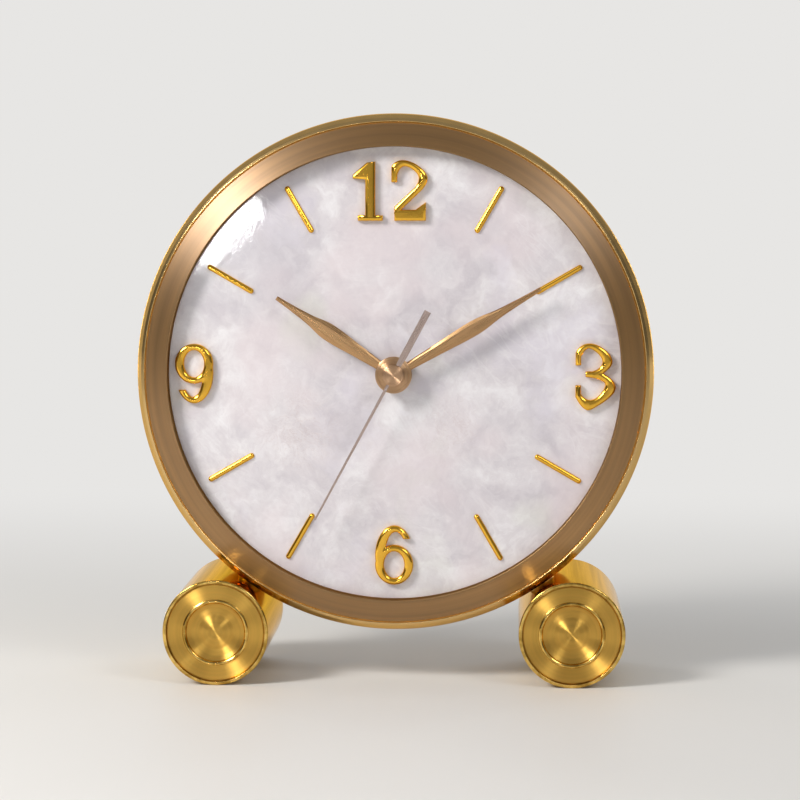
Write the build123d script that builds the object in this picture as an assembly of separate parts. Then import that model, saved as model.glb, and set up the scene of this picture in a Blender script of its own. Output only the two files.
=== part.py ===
from build123d import *
import os
from math import cos, radians, sin, sqrt

# A round brass desk clock that stands on two brass drums.
# The front faces -Y, +X is to the viewer's right and the drums rest on z = 0.
# Heights along the clock's axis are called depths: negative is towards the viewer.

# ---- case: driving dimensions, in millimetres ----
bezel_radius = 80.0
face_width = 10.2
lip_flat = 0.5
lip_depth = -21.5
cone_drop = 4.2
edge_groove = 0.3
round_width = 2.7
round_drop = 4.3
round_radius = 4.4
skirt_wall = 1.7
skirt_length = 2.6
drum_step = 0.8
drum_wall = 1.5
cover_depth = 16.5
cover_thickness = 1.6
cover_spigot = 1.2
access_radius = 42.0
access_lip = 1.0
slip = 0.05

# ---- feet ----
foot_radius = 16.4
foot_length = 50.0
foot_angle = 34.6
foot_gap = 0.5
foot_wall = 2.6
plug_radius = 15.3
plug_length = 6.0
plug_inset = 0.45
bead_radius = 9.7
bead_width = 0.9
bead_height = 0.3
dish_depth = 1.5
dish_radius = 7.0
boss_radius = 4.9
boss_height = 0.9
groove_width = 0.35
foot_screw_pitch = 16.0
foot_screw_middle = 2.0
foot_screw_radius = 2.0
foot_screw_head_radius = 3.6
foot_screw_head = 2.2
foot_spacer_radius = 4.5
screw_socket_depth = 1.2
screw_socket_radius = 1.7

# ---- dial ----
dial_depth = -17.0
pearl_thickness = 1.2
dial_plate_thickness = 1.2
stud_wall = 0.7
flange_thickness = 1.5
flange_width = 8.0
numeral_height = 18.4
numeral_width = 11.8
numeral_thickness = 2.0
numeral_bevel = 0.55
pair_spread = 12.0
pair_shift = 1.3
stroke_wide = 2.75
stroke_thin = 1.95
numeral_inset = 13.6
side_numeral_inset = 7.9
bowl_share = 0.335
terminal_share = 0.55
baton_width = 1.7
baton_length = 16.3
baton_inset = 11.4

# ---- hands ----
hour_hand_length = 43.0
minute_hand_length = 52.2
second_hand_length = 50.7
second_tail_length = 22.3
second_neck_length = 6.7
hour_hand_angle = 303.2
minute_hand_angle = 59.5
second_hand_angle = 208.4
hand_root_width = 2.3
hour_hand_width = 5.3
minute_hand_width = 4.6
hand_tip_width = 1.3
hand_flat_width = 2.6
hand_thickness = 0.8
hand_edge = 0.3
belly_share = 0.56
shoulder_share = 0.73
waist_share = 0.28
hand_boss_radius = 5.6
hand_boss_thickness = 1.0
hand_collet_radius = 4.5
hand_gap = 0.45
second_blade_root = 0.95
second_blade_tip = 0.6
second_bar_width = 2.1
second_blade_thickness = 0.4
cap_radius = 3.3
cap_dome = 0.35
hub_front_depth = -24.6

# ---- movement: housing ----
contact_room = 2.55
case_top = 24.0
case_bottom = -32.0
case_wall = 1.2
case_corner = 3.0
movement_depth = 15.3
gasket_thickness = 0.5
gasket_radius = 9.0
bushing_radius = 3.95
nut_radius = 5.3
nut_thickness = 1.4
battery_radius = 7.05
battery_length = 48.5
battery_nub_radius = 2.6
battery_nub = 1.4
bay_wall_height = -15.6
lid_thickness = 1.2
vent_count = 5
vent_pitch = 2.4
vent_width = 1.0
vent_length = 14.0
vent_inset = 6.0
plate_thickness = 0.8
plate_left = -20.5
plate_right = 23.2
plate_bottom = -13.8
plate_top = 14.5
knob_radius = 6.5
knob_thickness = 4.0
knob_ribs = 12
knob_rib_radius = 0.7
knob_shaft_radius = 1.0

# ---- movement: train ----
running_gap = 0.05
friction_gap = 0.02
layer_thickness = 1.0
layer_gap = 0.4
arbor_radius = 0.5
pivot_radius = 0.4
cannon_wall = 0.9
pipe_wall = 0.95
second_distance = 8.5
motion_distance = 7.5
fifth_distance = 6.0
rotor_distance = 5.6
third_angle = 150.0
minute_wheel_angle = -30.0
fifth_angle = 60.0
knob_angle = 0.0
rotor_teeth = 8
fifth_teeth = 48
pinion_teeth = 8
fourth_teeth = 40
third_teeth = 60
centre_teeth = 64
cannon_teeth = 12
minute_teeth = 36
minute_pinion_teeth = 10
hour_teeth = 40
tooth_share = 0.36
addendum_share = 0.85
dedendum_share = 1.25
tip_share = 0.5
magnet_radius = 1.7
magnet_gap = 0.5
stator_thickness = 1.5
stator_bar = 4.9
stator_leg = 3.0
stator_span = 26.0
stator_rise = 8.6
coil_radius = 3.0
sleeve_radius = 2.05
bobbin_radius = 3.6
bobbin_flange = 0.8
core_height = 2.6
post_radius = 1.5
board_inset = 1.0
board_width = 4.6
board_height = 17.0
board_thickness = 1.0
crystal_radius = 1.0
crystal_length = 6.0
chip_radius = 1.9
chip_height = 0.9
contact_thickness = 0.4
contact_width = 9.0

# ---- case pillars and screws ----
pillar_radius = 3.0
pillar_stud_radius = 1.5
pillar_stud_length = 3.2
cover_screw_head_radius = 2.9
cover_screw_head = 1.5
cover_screw_length = 6.0
slot_width = 0.8
slot_depth = 0.8

# ---- places that follow from the dimensions above ----
cone_radius = bezel_radius - round_width
opening_radius = bezel_radius - face_width
numeral_ring_radius = opening_radius - numeral_inset
side_numeral_radius = opening_radius - side_numeral_inset
baton_middle = opening_radius - baton_inset
foot_centre_distance = bezel_radius + foot_gap + foot_radius
foot_half_spread = foot_centre_distance * sin(radians(foot_angle))
clock_height = foot_radius + foot_centre_distance * cos(radians(foot_angle))
foot_front = -foot_length / 2
drum_radius = bezel_radius - drum_step
drum_bore = drum_radius - drum_wall
pearl_back = dial_depth + pearl_thickness
plate_back = pearl_back + dial_plate_thickness
skirt_depth = plate_back + skirt_length
pillar_ring_radius = drum_bore - pillar_radius - slip
dial_radius = pillar_ring_radius - pillar_stud_radius - slip - stud_wall
cover_front = cover_depth - cover_thickness
flange_back = plate_back + flange_thickness
flange_bore = drum_bore - flange_width
flange_radius = bezel_radius - skirt_wall - slip
case_half_width = battery_length / 2 + contact_room + case_wall
case_front = plate_back + gasket_thickness
floor_depth = case_front + case_wall
case_back = case_front + movement_depth


def layer(index):
    """Front and back depth of one gear layer, counted from the front wall of the movement."""
    start = floor_depth + layer_gap + index * (layer_thickness + layer_gap)
    return start, start + layer_thickness


hour_layer = layer(0)
motion_layer = layer(1)
centre_layer = layer(2)
middle_plate_depth = centre_layer[1] + layer_gap
plate_shift = plate_thickness + layer_gap
third_layer = (layer(3)[0] + plate_shift, layer(3)[1] + plate_shift)
fourth_layer = (layer(4)[0] + plate_shift, layer(4)[1] + plate_shift)
fifth_layer = (layer(5)[0] + plate_shift, layer(5)[1] + plate_shift)
bridge_depth = fifth_layer[1] + layer_gap + stator_thickness + layer_gap
stator_depth = fifth_layer[1] + layer_gap

cannon_bore = arbor_radius + running_gap
cannon_radius = cannon_bore + cannon_wall
tail_radius = cannon_radius - layer_gap
pipe_bore = cannon_radius + running_gap
pipe_radius = pipe_bore + pipe_wall
bushing_bore = pipe_radius + running_gap

cap_front = hub_front_depth
second_blade_depth = cap_front + 1.1
minute_boss_front = second_blade_depth + second_blade_thickness + hand_gap
hour_boss_front = minute_boss_front + hand_boss_thickness + hand_gap
nut_front = dial_depth - nut_thickness


def polar(distance, angle):
    """A point in the plane of the dial, with the angle in degrees from +X towards +Z."""
    return distance * cos(radians(angle)), distance * sin(radians(angle))


third_place = polar(second_distance, third_angle)
minute_place = polar(motion_distance, minute_wheel_angle)
fifth_place = polar(fifth_distance, fifth_angle)
knob_place = (minute_place[0] + motion_distance, minute_place[1])
rotor_place = tuple(a + b for a, b in zip(fifth_place, polar(rotor_distance, fifth_angle)))


# ---- general shapes ----
def at_clock(shape):
    """Moves a shape drawn around the origin to the clock's centre."""
    return Pos(0, 0, clock_height) * shape


def at_place(shape, place):
    """Moves a shape drawn around the origin to a place in the movement."""
    return Pos(place[0], 0, clock_height + place[1]) * shape


def turned(*points):
    """A solid turned about the Y axis from (radius, depth) points."""
    return revolve(make_face(Polyline(*points, close=True)), Axis.Y)


def disc(radius, front, back, bore=0.0):
    """A turned disc or ring between two depths."""
    if bore:
        return turned((bore, front), (radius, front), (radius, back), (bore, back))
    return turned((0, front), (radius, front), (radius, back), (0, back))


def slab(left, right, bottom, top, front, back):
    """A plate with square corners, from its limits in X, Z and depth."""
    plate = Box(right - left, back - front, top - bottom)
    return Pos((left + right) / 2, (front + back) / 2, (bottom + top) / 2) * plate


def dome(radius, rim, height):
    """A shallow arc on the axis, from the rim's radius and depth to a crown nearer the viewer."""
    sphere = (radius**2 + height**2) / (2 * height)
    crown = rim - height
    half = radius / 2
    return ThreePointArc((radius, rim), (half, crown + sphere - sqrt(sphere**2 - half**2)), (0, crown))


def upright(outline, front, back):
    """Extrudes an outline, drawn with x to the right and y up, from one depth to another."""
    return Pos(0, back, 0) * extrude(Plane.XZ * outline, back - front)


def group(solids):
    """Separate solids that share one node."""
    return Compound(children=list(solids))


# ---- gears ----
def gear_outline(teeth, pitch_radius, phase):
    """Trapezoid teeth on a root circle, with one tooth centred on the phase angle."""
    module = 2 * pitch_radius / teeth
    tip = pitch_radius + addendum_share * module
    root = pitch_radius - dedendum_share * module
    step = 360 / teeth
    half_root = step * tooth_share / 2 * (1 + (1 - tip_share))
    half_tip = step * tooth_share / 2 * tip_share
    points = []
    for tooth in range(teeth):
        middle = phase + tooth * step
        points.append(polar(root, middle - half_root))
        points.append(polar(tip, middle - half_tip))
        points.append(polar(tip, middle + half_tip))
        points.append(polar(root, middle + half_root))
    return make_face(Polyline(*points, close=True))


def gear(teeth, pitch_radius, phase, depths, bore=0.0):
    """A toothed wheel between two depths."""
    wheel = upright(gear_outline(teeth, pitch_radius, phase), *depths)
    if bore:
        wheel -= disc(bore, depths[0], depths[1])
    return wheel


def pitch_radius(teeth, mate_teeth, arm):
    """Pitch radius of a gear that meshes with a mate at a given centre distance."""
    return arm * teeth / (teeth + mate_teeth)


def mesh_phase(teeth, driver_teeth, driver_phase, direction):
    """Phase that sets a gap of this gear on the driver's tooth, seen from the driver in a direction."""
    lag = (direction - driver_phase) % (360 / driver_teeth)
    return direction + 180 + lag * driver_teeth / teeth + 180 / teeth


# ---- case ----
def make_bezel():
    """Lip, satin cone, fine groove, polished round, and a skirt that covers the joint with the drum."""
    cone_depth = lip_depth + cone_drop
    round_depth = cone_depth + round_drop
    lip_edge = opening_radius + lip_flat
    ledge = dial_radius + slip
    skirt_bore = bezel_radius - skirt_wall
    lip_start = lip_depth + lip_flat
    profile = [
        Line((opening_radius, dial_depth), (opening_radius, lip_start)),
        RadiusArc((opening_radius, lip_start), (lip_edge, lip_depth), -lip_flat),
        Polyline(
            (lip_edge, lip_depth),
            (cone_radius - edge_groove, cone_depth),
            (cone_radius - edge_groove / 2, cone_depth + edge_groove),
            (cone_radius, cone_depth),
        ),
        RadiusArc((cone_radius, cone_depth), (bezel_radius, round_depth), -round_radius),
        Polyline(
            (bezel_radius, round_depth),
            (bezel_radius, skirt_depth),
            (skirt_bore, skirt_depth),
            (skirt_bore, plate_back),
            (ledge, plate_back),
            (ledge, dial_depth),
            (opening_radius, dial_depth),
        ),
    ]
    bezel = revolve(make_face(profile), Axis.Y)
    for place in pillar_places():
        bezel -= Pos(place[0], 0, place[1]) * disc(
            pillar_stud_radius + slip, plate_back - pillar_stud_length, plate_back
        )
    return at_clock(bezel)


def pillar_places():
    """Four places on the pillar ring, midway between the hours."""
    return [polar(pillar_ring_radius, 45 + 90 * quarter) for quarter in range(4)]


def make_drum():
    """Case wall, stepped in at the front to sit inside the bezel's skirt, drilled for the foot screws."""
    drum = turned(
        (drum_bore, flange_back),
        (flange_radius, flange_back),
        (flange_radius, skirt_depth),
        (drum_radius, skirt_depth),
        (drum_radius, cover_front),
        (drum_bore, cover_front),
    )
    for side in (-1, 1):
        for depth in foot_screw_depths():
            drum -= foot_radial(Cylinder(foot_screw_radius + slip, 3 * drum_wall), drum_radius, depth, side)
    return at_clock(drum)


def make_front_flange():
    """Flat ring brazed on the front of the drum, drilled for the pillars' studs."""
    flange = disc(flange_radius, plate_back, flange_back, flange_bore)
    for place in pillar_places():
        flange -= Pos(place[0], 0, place[1]) * disc(pillar_stud_radius + slip, plate_back, flange_back)
    return at_clock(flange)


def make_pillars():
    """Stand-off pillars whose studs pass through the flange into the bezel."""
    pillars = []
    for place in pillar_places():
        body = disc(pillar_radius, flange_back, cover_front)
        body += disc(pillar_stud_radius, plate_back - pillar_stud_length, flange_back)
        body -= disc(pillar_stud_radius + slip, cover_front - cover_screw_length, cover_front)
        pillars.append(at_place(body, place))
    return group(pillars)


def make_back_cover():
    """Back plate with a spigot in the drum, a turned round on its edge and an access hole."""
    spigot_radius = drum_bore - slip
    spigot_bore = spigot_radius - drum_wall
    lip_radius = access_radius + access_lip
    cover = turned(
        (access_radius, cover_front),
        (spigot_bore, cover_front),
        (spigot_bore, cover_front - cover_spigot),
        (spigot_radius, cover_front - cover_spigot),
        (spigot_radius, cover_front),
        (drum_radius, cover_front),
        (drum_radius, cover_depth - access_lip),
        (drum_radius - access_lip, cover_depth),
        (lip_radius, cover_depth),
        (access_radius, cover_depth - access_lip),
    )
    for place in pillar_places():
        cover -= Pos(place[0], 0, place[1]) * cover_screw_cut(slip)
        pillar_room = disc(pillar_radius + slip, cover_front - cover_spigot, cover_front)
        cover -= Pos(place[0], 0, place[1]) * pillar_room
    return at_clock(cover)


def cover_screw_cut(gap):
    """Countersunk head and shank, wider by the gap."""
    return turned(
        (0, cover_front - cover_screw_length + slip),
        (pillar_stud_radius + gap, cover_front - cover_screw_length + slip),
        (pillar_stud_radius + gap, cover_depth - cover_screw_head),
        (cover_screw_head_radius + gap, cover_depth),
        (0, cover_depth),
    )


def make_cover_screws():
    """Slotted countersunk screws that hold the back cover to the pillars."""
    slot = slab(
        -cover_screw_head_radius,
        cover_screw_head_radius,
        -slot_width / 2,
        slot_width / 2,
        cover_depth - slot_depth,
        cover_depth,
    )
    return group(at_place(cover_screw_cut(0) - slot, place) for place in pillar_places())


# ---- feet ----
def foot_place(side):
    """Centre of a foot, from the clock's centre."""
    return side * foot_half_spread, foot_radius - clock_height


def foot_screw_depths():
    """Depths of the two screws that hold a foot."""
    return [foot_screw_middle + sign * foot_screw_pitch / 2 for sign in (-1, 1)]


def foot_radial(shape, distance, depth, side):
    """Puts a shape drawn along +Z on the line from the clock's centre to a foot, pointing outwards."""
    return Pos(0, depth, 0) * Rot(0, 180 - side * foot_angle, 0) * Pos(0, 0, distance) * shape


def make_foot_tube(side):
    """A tube with a counterbore at each end for its plugs."""
    front = foot_front
    back = foot_front + foot_length
    bore = foot_radius - foot_wall
    edge = groove_width
    tube = turned(
        (bore, front + plug_length),
        (plug_radius, front + plug_length),
        (plug_radius, front),
        (foot_radius - edge, front),
        (foot_radius, front + edge),
        (foot_radius, back - edge),
        (foot_radius - edge, back),
        (plug_radius, back),
        (plug_radius, back - plug_length),
        (bore, back - plug_length),
    )
    tube = Pos(foot_place(side)[0], 0, foot_place(side)[1]) * tube
    for depth in foot_screw_depths():
        tube -= foot_radial(
            Cylinder(foot_screw_radius + slip, 3 * foot_wall), foot_centre_distance - foot_radius, depth, side
        )
    return at_clock(tube)


def make_foot_plug(side, facing):
    """A turned end plug: groove, flat face, bead, dish and a centre boss."""
    outer = plug_radius - slip
    face = plug_inset
    dish_floor = face + dish_depth
    bead_outer = bead_radius + bead_width / 2
    bead_inner = bead_radius - bead_width / 2
    profile = [
        Polyline(
            (0, plug_length),
            (outer, plug_length),
            (outer, face + groove_width),
            (outer - groove_width, face),
            (bead_outer, face),
        ),
        ThreePointArc((bead_outer, face), (bead_radius, face - bead_height), (bead_inner, face)),
        RadiusArc((bead_inner, face), (boss_radius, dish_floor), -dish_radius),
        dome(boss_radius, dish_floor, boss_height),
        Line((0, dish_floor - boss_height), (0, plug_length)),
    ]
    plug = revolve(make_face(profile), Axis.Y)
    plug = Pos(0, foot_front, 0) * plug
    if facing > 0:
        plug = Rot(0, 0, 180) * plug
    return at_place(plug, foot_place(side))


def make_foot_spacers():
    """Collars with hollow ends that seat on the drum and on the foot."""
    spacers = []
    reach = foot_centre_distance - foot_radius - drum_radius
    for side in (-1, 1):
        for depth in foot_screw_depths():
            blank = Cylinder(foot_spacer_radius, reach + 2 * foot_wall)
            blank -= Cylinder(foot_screw_radius + slip, reach + 2 * foot_wall)
            collar = foot_radial(blank, drum_radius + reach / 2, depth, side)
            collar -= disc(drum_radius, -foot_length, foot_length)
            foot = foot_place(side)
            collar -= Pos(foot[0], 0, foot[1]) * disc(foot_radius, -foot_length, foot_length)
            spacers.append(at_clock(collar.solids().sort_by(Axis.Y)[0]))
    return group(spacers)


def make_foot_screws():
    """Socket cap screws driven from inside the drum."""
    screws = []
    shank_end = foot_centre_distance - foot_radius + foot_wall + foot_screw_head / 2
    seat = sqrt(drum_bore**2 - foot_screw_head_radius**2)
    for side in (-1, 1):
        for depth in foot_screw_depths():
            shank = shank_end - seat
            screw = Pos(0, 0, seat + shank / 2) * Cylinder(foot_screw_radius, shank)
            screw += Pos(0, 0, seat - foot_screw_head / 2) * Cylinder(foot_screw_head_radius, foot_screw_head)
            socket = extrude(RegularPolygon(screw_socket_radius, 6), screw_socket_depth)
            screw -= Pos(0, 0, seat - foot_screw_head) * socket
            screws.append(at_clock(foot_radial(screw, 0, depth, side)))
    return group(screws)


# ---- dial ----
def make_dial_plate():
    """Plate behind the pearl disc."""
    return at_clock(disc(dial_radius, pearl_back, plate_back, bushing_radius + slip))


def make_pearl_disc():
    """Disc of mother-of-pearl, clamped by the bezel."""
    return at_clock(disc(dial_radius, dial_depth, pearl_back, bushing_radius + slip))


def raised(outline, place):
    """A numeral with bevelled top edges, standing on the dial at a place."""
    body = upright(outline, dial_depth - numeral_thickness, dial_depth)
    top_edges = body.faces().sort_by(Axis.Y)[0].edges()
    return at_place(chamfer(top_edges, numeral_bevel), place)


def ellipse_ring(outer_x, outer_y, inner_x, inner_y, shift=0.0):
    """An oval stroke, whose hole may sit off its centre."""
    return Ellipse(outer_x, outer_y) - Pos(shift, 0) * Ellipse(inner_x, inner_y)


def numeral_six():
    """A tall oval stroke cut open at the right, closed by a round bowl below."""
    half_width = numeral_width / 2
    half_height = numeral_height / 2
    bowl_height = numeral_height * bowl_share
    bowl_middle = bowl_height - half_height
    tall = ellipse_ring(
        half_width, half_height, half_width - stroke_wide, half_height - stroke_thin, stroke_thin / 4
    )
    terminal = half_height * terminal_share
    opening = Pos(half_width, (terminal + bowl_middle) / 2) * Rectangle(
        2 * half_width, terminal - bowl_middle
    )
    bowl_outer = Pos(0, bowl_middle) * Ellipse(half_width, bowl_height)
    bowl_inner = Pos(0, bowl_middle) * Ellipse(half_width - stroke_wide, bowl_height - stroke_thin)
    return (tall - opening - bowl_outer) + (bowl_outer - bowl_inner)


def on_grid(*points):
    """Points on the numerals' drawing grid, which is sixty steps high."""
    step = numeral_height / 60
    return [(x * step, y * step) for x, y in points]


def grid_spline(points, start, end):
    """A smooth stroke edge through grid points, with its direction at both ends."""
    return Spline(*on_grid(*points), tangents=(start, end))


def numeral_three():
    """Two open bowls that meet at a pointed waist, with upright ends."""
    return make_face(
        [
            grid_spline([(-20, 22), (-2, 31), (16, 17), (7.5, 1.5)], (0.5, 1), (-1, -0.7)),
            grid_spline([(7.5, 1.5), (20, -14), (1, -32), (-20, -22)], (1, -0.5), (-0.5, 1)),
            Polyline(*on_grid((-20, -22), (-20, -10.5), (-14.5, -10.5), (-14.5, -19))),
            grid_spline([(-14.5, -19), (-3, -25), (9, -13), (-3, -3)], (0.6, -1), (-1, 0.2)),
            Polyline(*on_grid((-3, -3), (-10, -2), (-10, 3.5), (-3, 3.5))),
            grid_spline([(-3, 3.5), (6.5, 15), (-3.5, 25.5), (-14.5, 18)], (1, 0.3), (-0.5, -1)),
            Polyline(*on_grid((-14.5, 18), (-14.5, 9.5), (-20, 9.5), (-20, 22))),
        ]
    )


def numeral_two():
    """An open bowl, a diagonal, and a foot whose tip is raised."""
    foot = [(6, -18.5), (16.5, -11), (16.5, -29.5), (-15, -29.5)]
    diagonal = [(13.5, 2), (-8, -18.5), *foot, (-15, -16), (6, 4)]
    return make_face(
        [
            grid_spline([(-18, 24), (-0.5, 30), (18, 14), (13.5, 2)], (0.5, 1), (-0.7, -1)),
            Polyline(*on_grid(*diagonal)),
            grid_spline([(6, 4), (9, 14.5), (-1.5, 24), (-12, 16)], (0.7, 1), (-0.3, -1)),
            Polyline(*on_grid((-12, 16), (-12, 9), (-18, 9), (-18, 24))),
        ]
    )


def numeral_one():
    """A stem with a pointed flag and a slab foot."""
    return make_face(
        Polyline(
            *on_grid(
                (-12.5, -29.5),
                (12.5, -29.5),
                (12.5, -24),
                (5, -24),
                (5, 29.5),
                (-3.5, 28.5),
                (-17.5, 16),
                (-17.5, 12.5),
                (-5, 11.5),
                (-5, -24),
                (-12.5, -24),
            ),
            close=True,
        )
    )


def make_numerals():
    """The four numerals at the quarters."""
    twelve_one = raised(numeral_one(), (-pair_spread / 2 - pair_shift, numeral_ring_radius))
    twelve_two = raised(numeral_two(), (pair_spread / 2 - pair_shift, numeral_ring_radius))
    return {
        "numeral_12": group([twelve_one, twelve_two]),
        "numeral_3": raised(numeral_three(), (side_numeral_radius, 0)),
        "numeral_6": raised(numeral_six(), (0, -numeral_ring_radius)),
        "numeral_9": raised(Rot(0, 0, 180) * numeral_six(), (-side_numeral_radius, 0)),
    }


def make_batons():
    """Eight half-round bars with domed ends, at the hours without a numeral."""
    half = baton_width / 2
    bar = Cylinder(half, baton_length - baton_width)
    for end in (-1, 1):
        bar += Pos(0, 0, end * (baton_length - baton_width) / 2) * Sphere(half)
    bar -= Pos(0, half, 0) * Box(4 * half, 2 * half, 2 * baton_length)
    bars = []
    for hour in range(12):
        if hour % 3:
            bars.append(at_clock(Rot(0, 30 * hour, 0) * Pos(0, dial_depth, baton_middle) * bar))
    return group(bars)


# ---- hands ----
def hand_outline(length, width):
    """A blade's outline: narrow root, belly past the middle, then an ogee to a thin tip."""
    belly = length * belly_share
    right = Spline(
        (hand_root_width / 2, 0),
        ((hand_root_width + width) / 4, belly / 2),
        (width / 2, belly),
        (width * waist_share, length * shoulder_share),
        (hand_tip_width / 2, length),
        tangents=((0, 1), (0, 1)),
    )
    left = mirror(right, Plane.YZ)
    base = Line(right @ 0, left @ 0)
    tip = Line(right @ 1, left @ 1)
    return make_face([right, tip, left, base])


def hand_blade(length, width, front, back):
    """A blade with a flat top and sloping flanks, drawn pointing up."""
    blade = upright(hand_outline(length, width), front, back)
    reach = width / 2 + slip
    flank = make_face(
        Polyline(
            (-reach, back),
            (-reach, back - hand_edge),
            (-hand_flat_width / 2, front),
            (hand_flat_width / 2, front),
            (reach, back - hand_edge),
            (reach, back),
            close=True,
        )
    )
    return blade & extrude(flank, 2 * length, both=True)


def make_hour_hand():
    """Hour hand on its collet, pressed on the hour wheel's pipe."""
    back = hour_boss_front + hand_boss_thickness
    hand = hand_blade(hour_hand_length, hour_hand_width, hour_boss_front, hour_boss_front + hand_thickness)
    hand += disc(hand_boss_radius, hour_boss_front, back)
    hand -= disc(pipe_radius, hour_boss_front, back)
    return at_clock(Rot(0, hour_hand_angle, 0) * hand)


def make_minute_hand():
    """Minute hand with a stepped collet, pressed on the cannon pinion."""
    back = minute_boss_front + hand_boss_thickness
    hand = hand_blade(
        minute_hand_length, minute_hand_width, minute_boss_front, minute_boss_front + hand_thickness
    )
    hand += turned(
        (0, minute_boss_front - hand_gap / 2),
        (hand_collet_radius, minute_boss_front - hand_gap / 2),
        (hand_collet_radius, minute_boss_front),
        (hand_boss_radius - hand_edge, minute_boss_front),
        (hand_boss_radius, minute_boss_front + hand_edge),
        (hand_boss_radius, back),
        (0, back),
    )
    hand -= disc(cannon_radius, minute_boss_front - hand_gap, back)
    return at_clock(Rot(0, minute_hand_angle, 0) * hand)


def make_second_hand():
    """Sweep hand: needle one way, bar counterweight the other."""
    front = second_blade_depth
    back = front + second_blade_thickness
    needle = make_face(
        Polyline(
            (-second_blade_root / 2, 0),
            (second_blade_root / 2, 0),
            (second_blade_tip / 2, second_hand_length),
            (-second_blade_tip / 2, second_hand_length),
            close=True,
        )
    )
    neck = second_neck_length
    tail = make_face(
        Polyline(
            (-second_blade_root / 2, 0),
            (-second_bar_width / 2, -neck),
            (-second_bar_width / 2, -second_tail_length),
            (second_bar_width / 2, -second_tail_length),
            (second_bar_width / 2, -neck),
            (second_blade_root / 2, 0),
            close=True,
        )
    )
    hand = upright(needle + tail + Circle(cap_radius - hand_edge), front, back)
    hand -= disc(arbor_radius, front, back)
    return at_clock(Rot(0, second_hand_angle, 0) * hand)


def make_second_cap():
    """Turned cap in front of the sweep hand, pressed on the end of its arbor."""
    back = second_blade_depth
    edge_front = cap_front + cap_dome
    profile = [
        dome(cap_radius, edge_front, cap_dome),
        Polyline(
            (cap_radius, edge_front),
            (cap_radius, back),
            (arbor_radius, back),
            (arbor_radius, edge_front + cap_dome),
            (0, edge_front + cap_dome),
            (0, cap_front),
        ),
    ]
    return at_clock(revolve(make_face(profile), Axis.Y))


# ---- movement housing ----
def case_outline(inset):
    """The housing's rounded square, drawn in by an inset."""
    width = 2 * (case_half_width - inset)
    height = case_top - case_bottom - 2 * inset
    return Pos(0, (case_top + case_bottom) / 2) * RectangleRounded(width, height, case_corner - inset)


def make_front_case():
    """Tray of the movement: gear bay above, battery bay below, bearing bosses on its floor."""
    tray = upright(case_outline(0), case_front, case_back)
    tray -= upright(case_outline(case_wall), floor_depth, case_back)
    tray += slab(
        -case_half_width + case_wall,
        case_half_width - case_wall,
        bay_wall_height,
        bay_wall_height + case_wall,
        floor_depth,
        case_back,
    )
    tray -= disc(bushing_bore + layer_gap + case_wall, case_front, floor_depth)
    minute_post = disc(pivot_radius, floor_depth, motion_layer[1])
    tray += Pos(minute_place[0], 0, minute_place[1]) * minute_post
    for place in (third_place, knob_place):
        boss_radius = arbor_radius + case_wall
        boss = disc(boss_radius, floor_depth, hour_layer[1], arbor_radius + running_gap)
        tray += Pos(place[0], 0, place[1]) * boss
    for place in plate_post_places():
        tray += Pos(place[0], 0, place[1]) * disc(post_radius, floor_depth, middle_plate_depth)
    return at_clock(tray)


def plate_post_places():
    """Posts under the corners of the middle plate."""
    left = plate_left + post_radius + case_wall
    right = plate_right - post_radius - case_wall / 3
    bottom = plate_bottom + post_radius + case_wall
    top = plate_top - post_radius - case_wall / 6
    return [(left, bottom), (right, bottom), (left, top), (right, top)]


def make_bushing():
    """Flanged bushing, threaded outside, that carries the hour pipe and clamps the dial."""
    return at_clock(
        turned(
            (bushing_bore, nut_front - layer_gap / 2),
            (bushing_radius, nut_front - layer_gap / 2),
            (bushing_radius, case_front),
            (bushing_bore + layer_gap + case_wall, case_front),
            (bushing_bore + layer_gap + case_wall, floor_depth),
            (bushing_bore, floor_depth),
        )
    )


def make_nut():
    """Round nut that pulls the movement against the dial."""
    nut = disc(nut_radius, nut_front, dial_depth, bushing_radius + slip)
    for side in (-1, 1):
        nut -= slab(
            side * (nut_radius + slot_width) - slot_width,
            side * (nut_radius + slot_width) + slot_width,
            -slot_width,
            slot_width,
            nut_front,
            dial_depth,
        )
    return at_clock(nut)


def make_gasket():
    """Rubber washer between the dial plate and the movement."""
    return at_clock(disc(gasket_radius, plate_back, case_front, bushing_radius + slip))


def make_back_case():
    """Lid over the gear bay, with a hole for the setting knob."""
    lid_front = case_back - lid_thickness
    lid = upright(case_outline(case_wall + slip), lid_front, case_back)
    lid -= slab(
        -case_half_width,
        case_half_width,
        case_bottom,
        bay_wall_height + case_wall + slip,
        lid_front,
        case_back,
    )
    lid -= Pos(knob_place[0], 0, knob_place[1]) * disc(
        knob_shaft_radius + running_gap, case_back - lid_thickness, case_back
    )
    left = vent_inset - case_half_width
    for row in range(vent_count):
        top = case_top - vent_inset - vent_pitch * row
        lid -= slab(left, left + vent_length, top - vent_width, top, case_back - lid_thickness / 2, case_back)
    return at_clock(lid)


def make_middle_plate():
    """Plate between the motion work and the going train."""
    plate = slab(
        plate_left,
        plate_right,
        plate_bottom,
        plate_top,
        middle_plate_depth,
        middle_plate_depth + plate_thickness,
    )
    back = middle_plate_depth + plate_thickness
    holes = [
        ((0, 0), tail_radius + layer_gap),
        (third_place, post_radius + layer_gap),
        (fifth_place, pivot_radius + running_gap),
        (rotor_place, pivot_radius + running_gap),
        (knob_place, knob_shaft_radius + running_gap),
    ]
    for place, radius in holes:
        plate -= Pos(place[0], 0, place[1]) * disc(radius, middle_plate_depth, back)
    return at_clock(plate)


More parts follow.
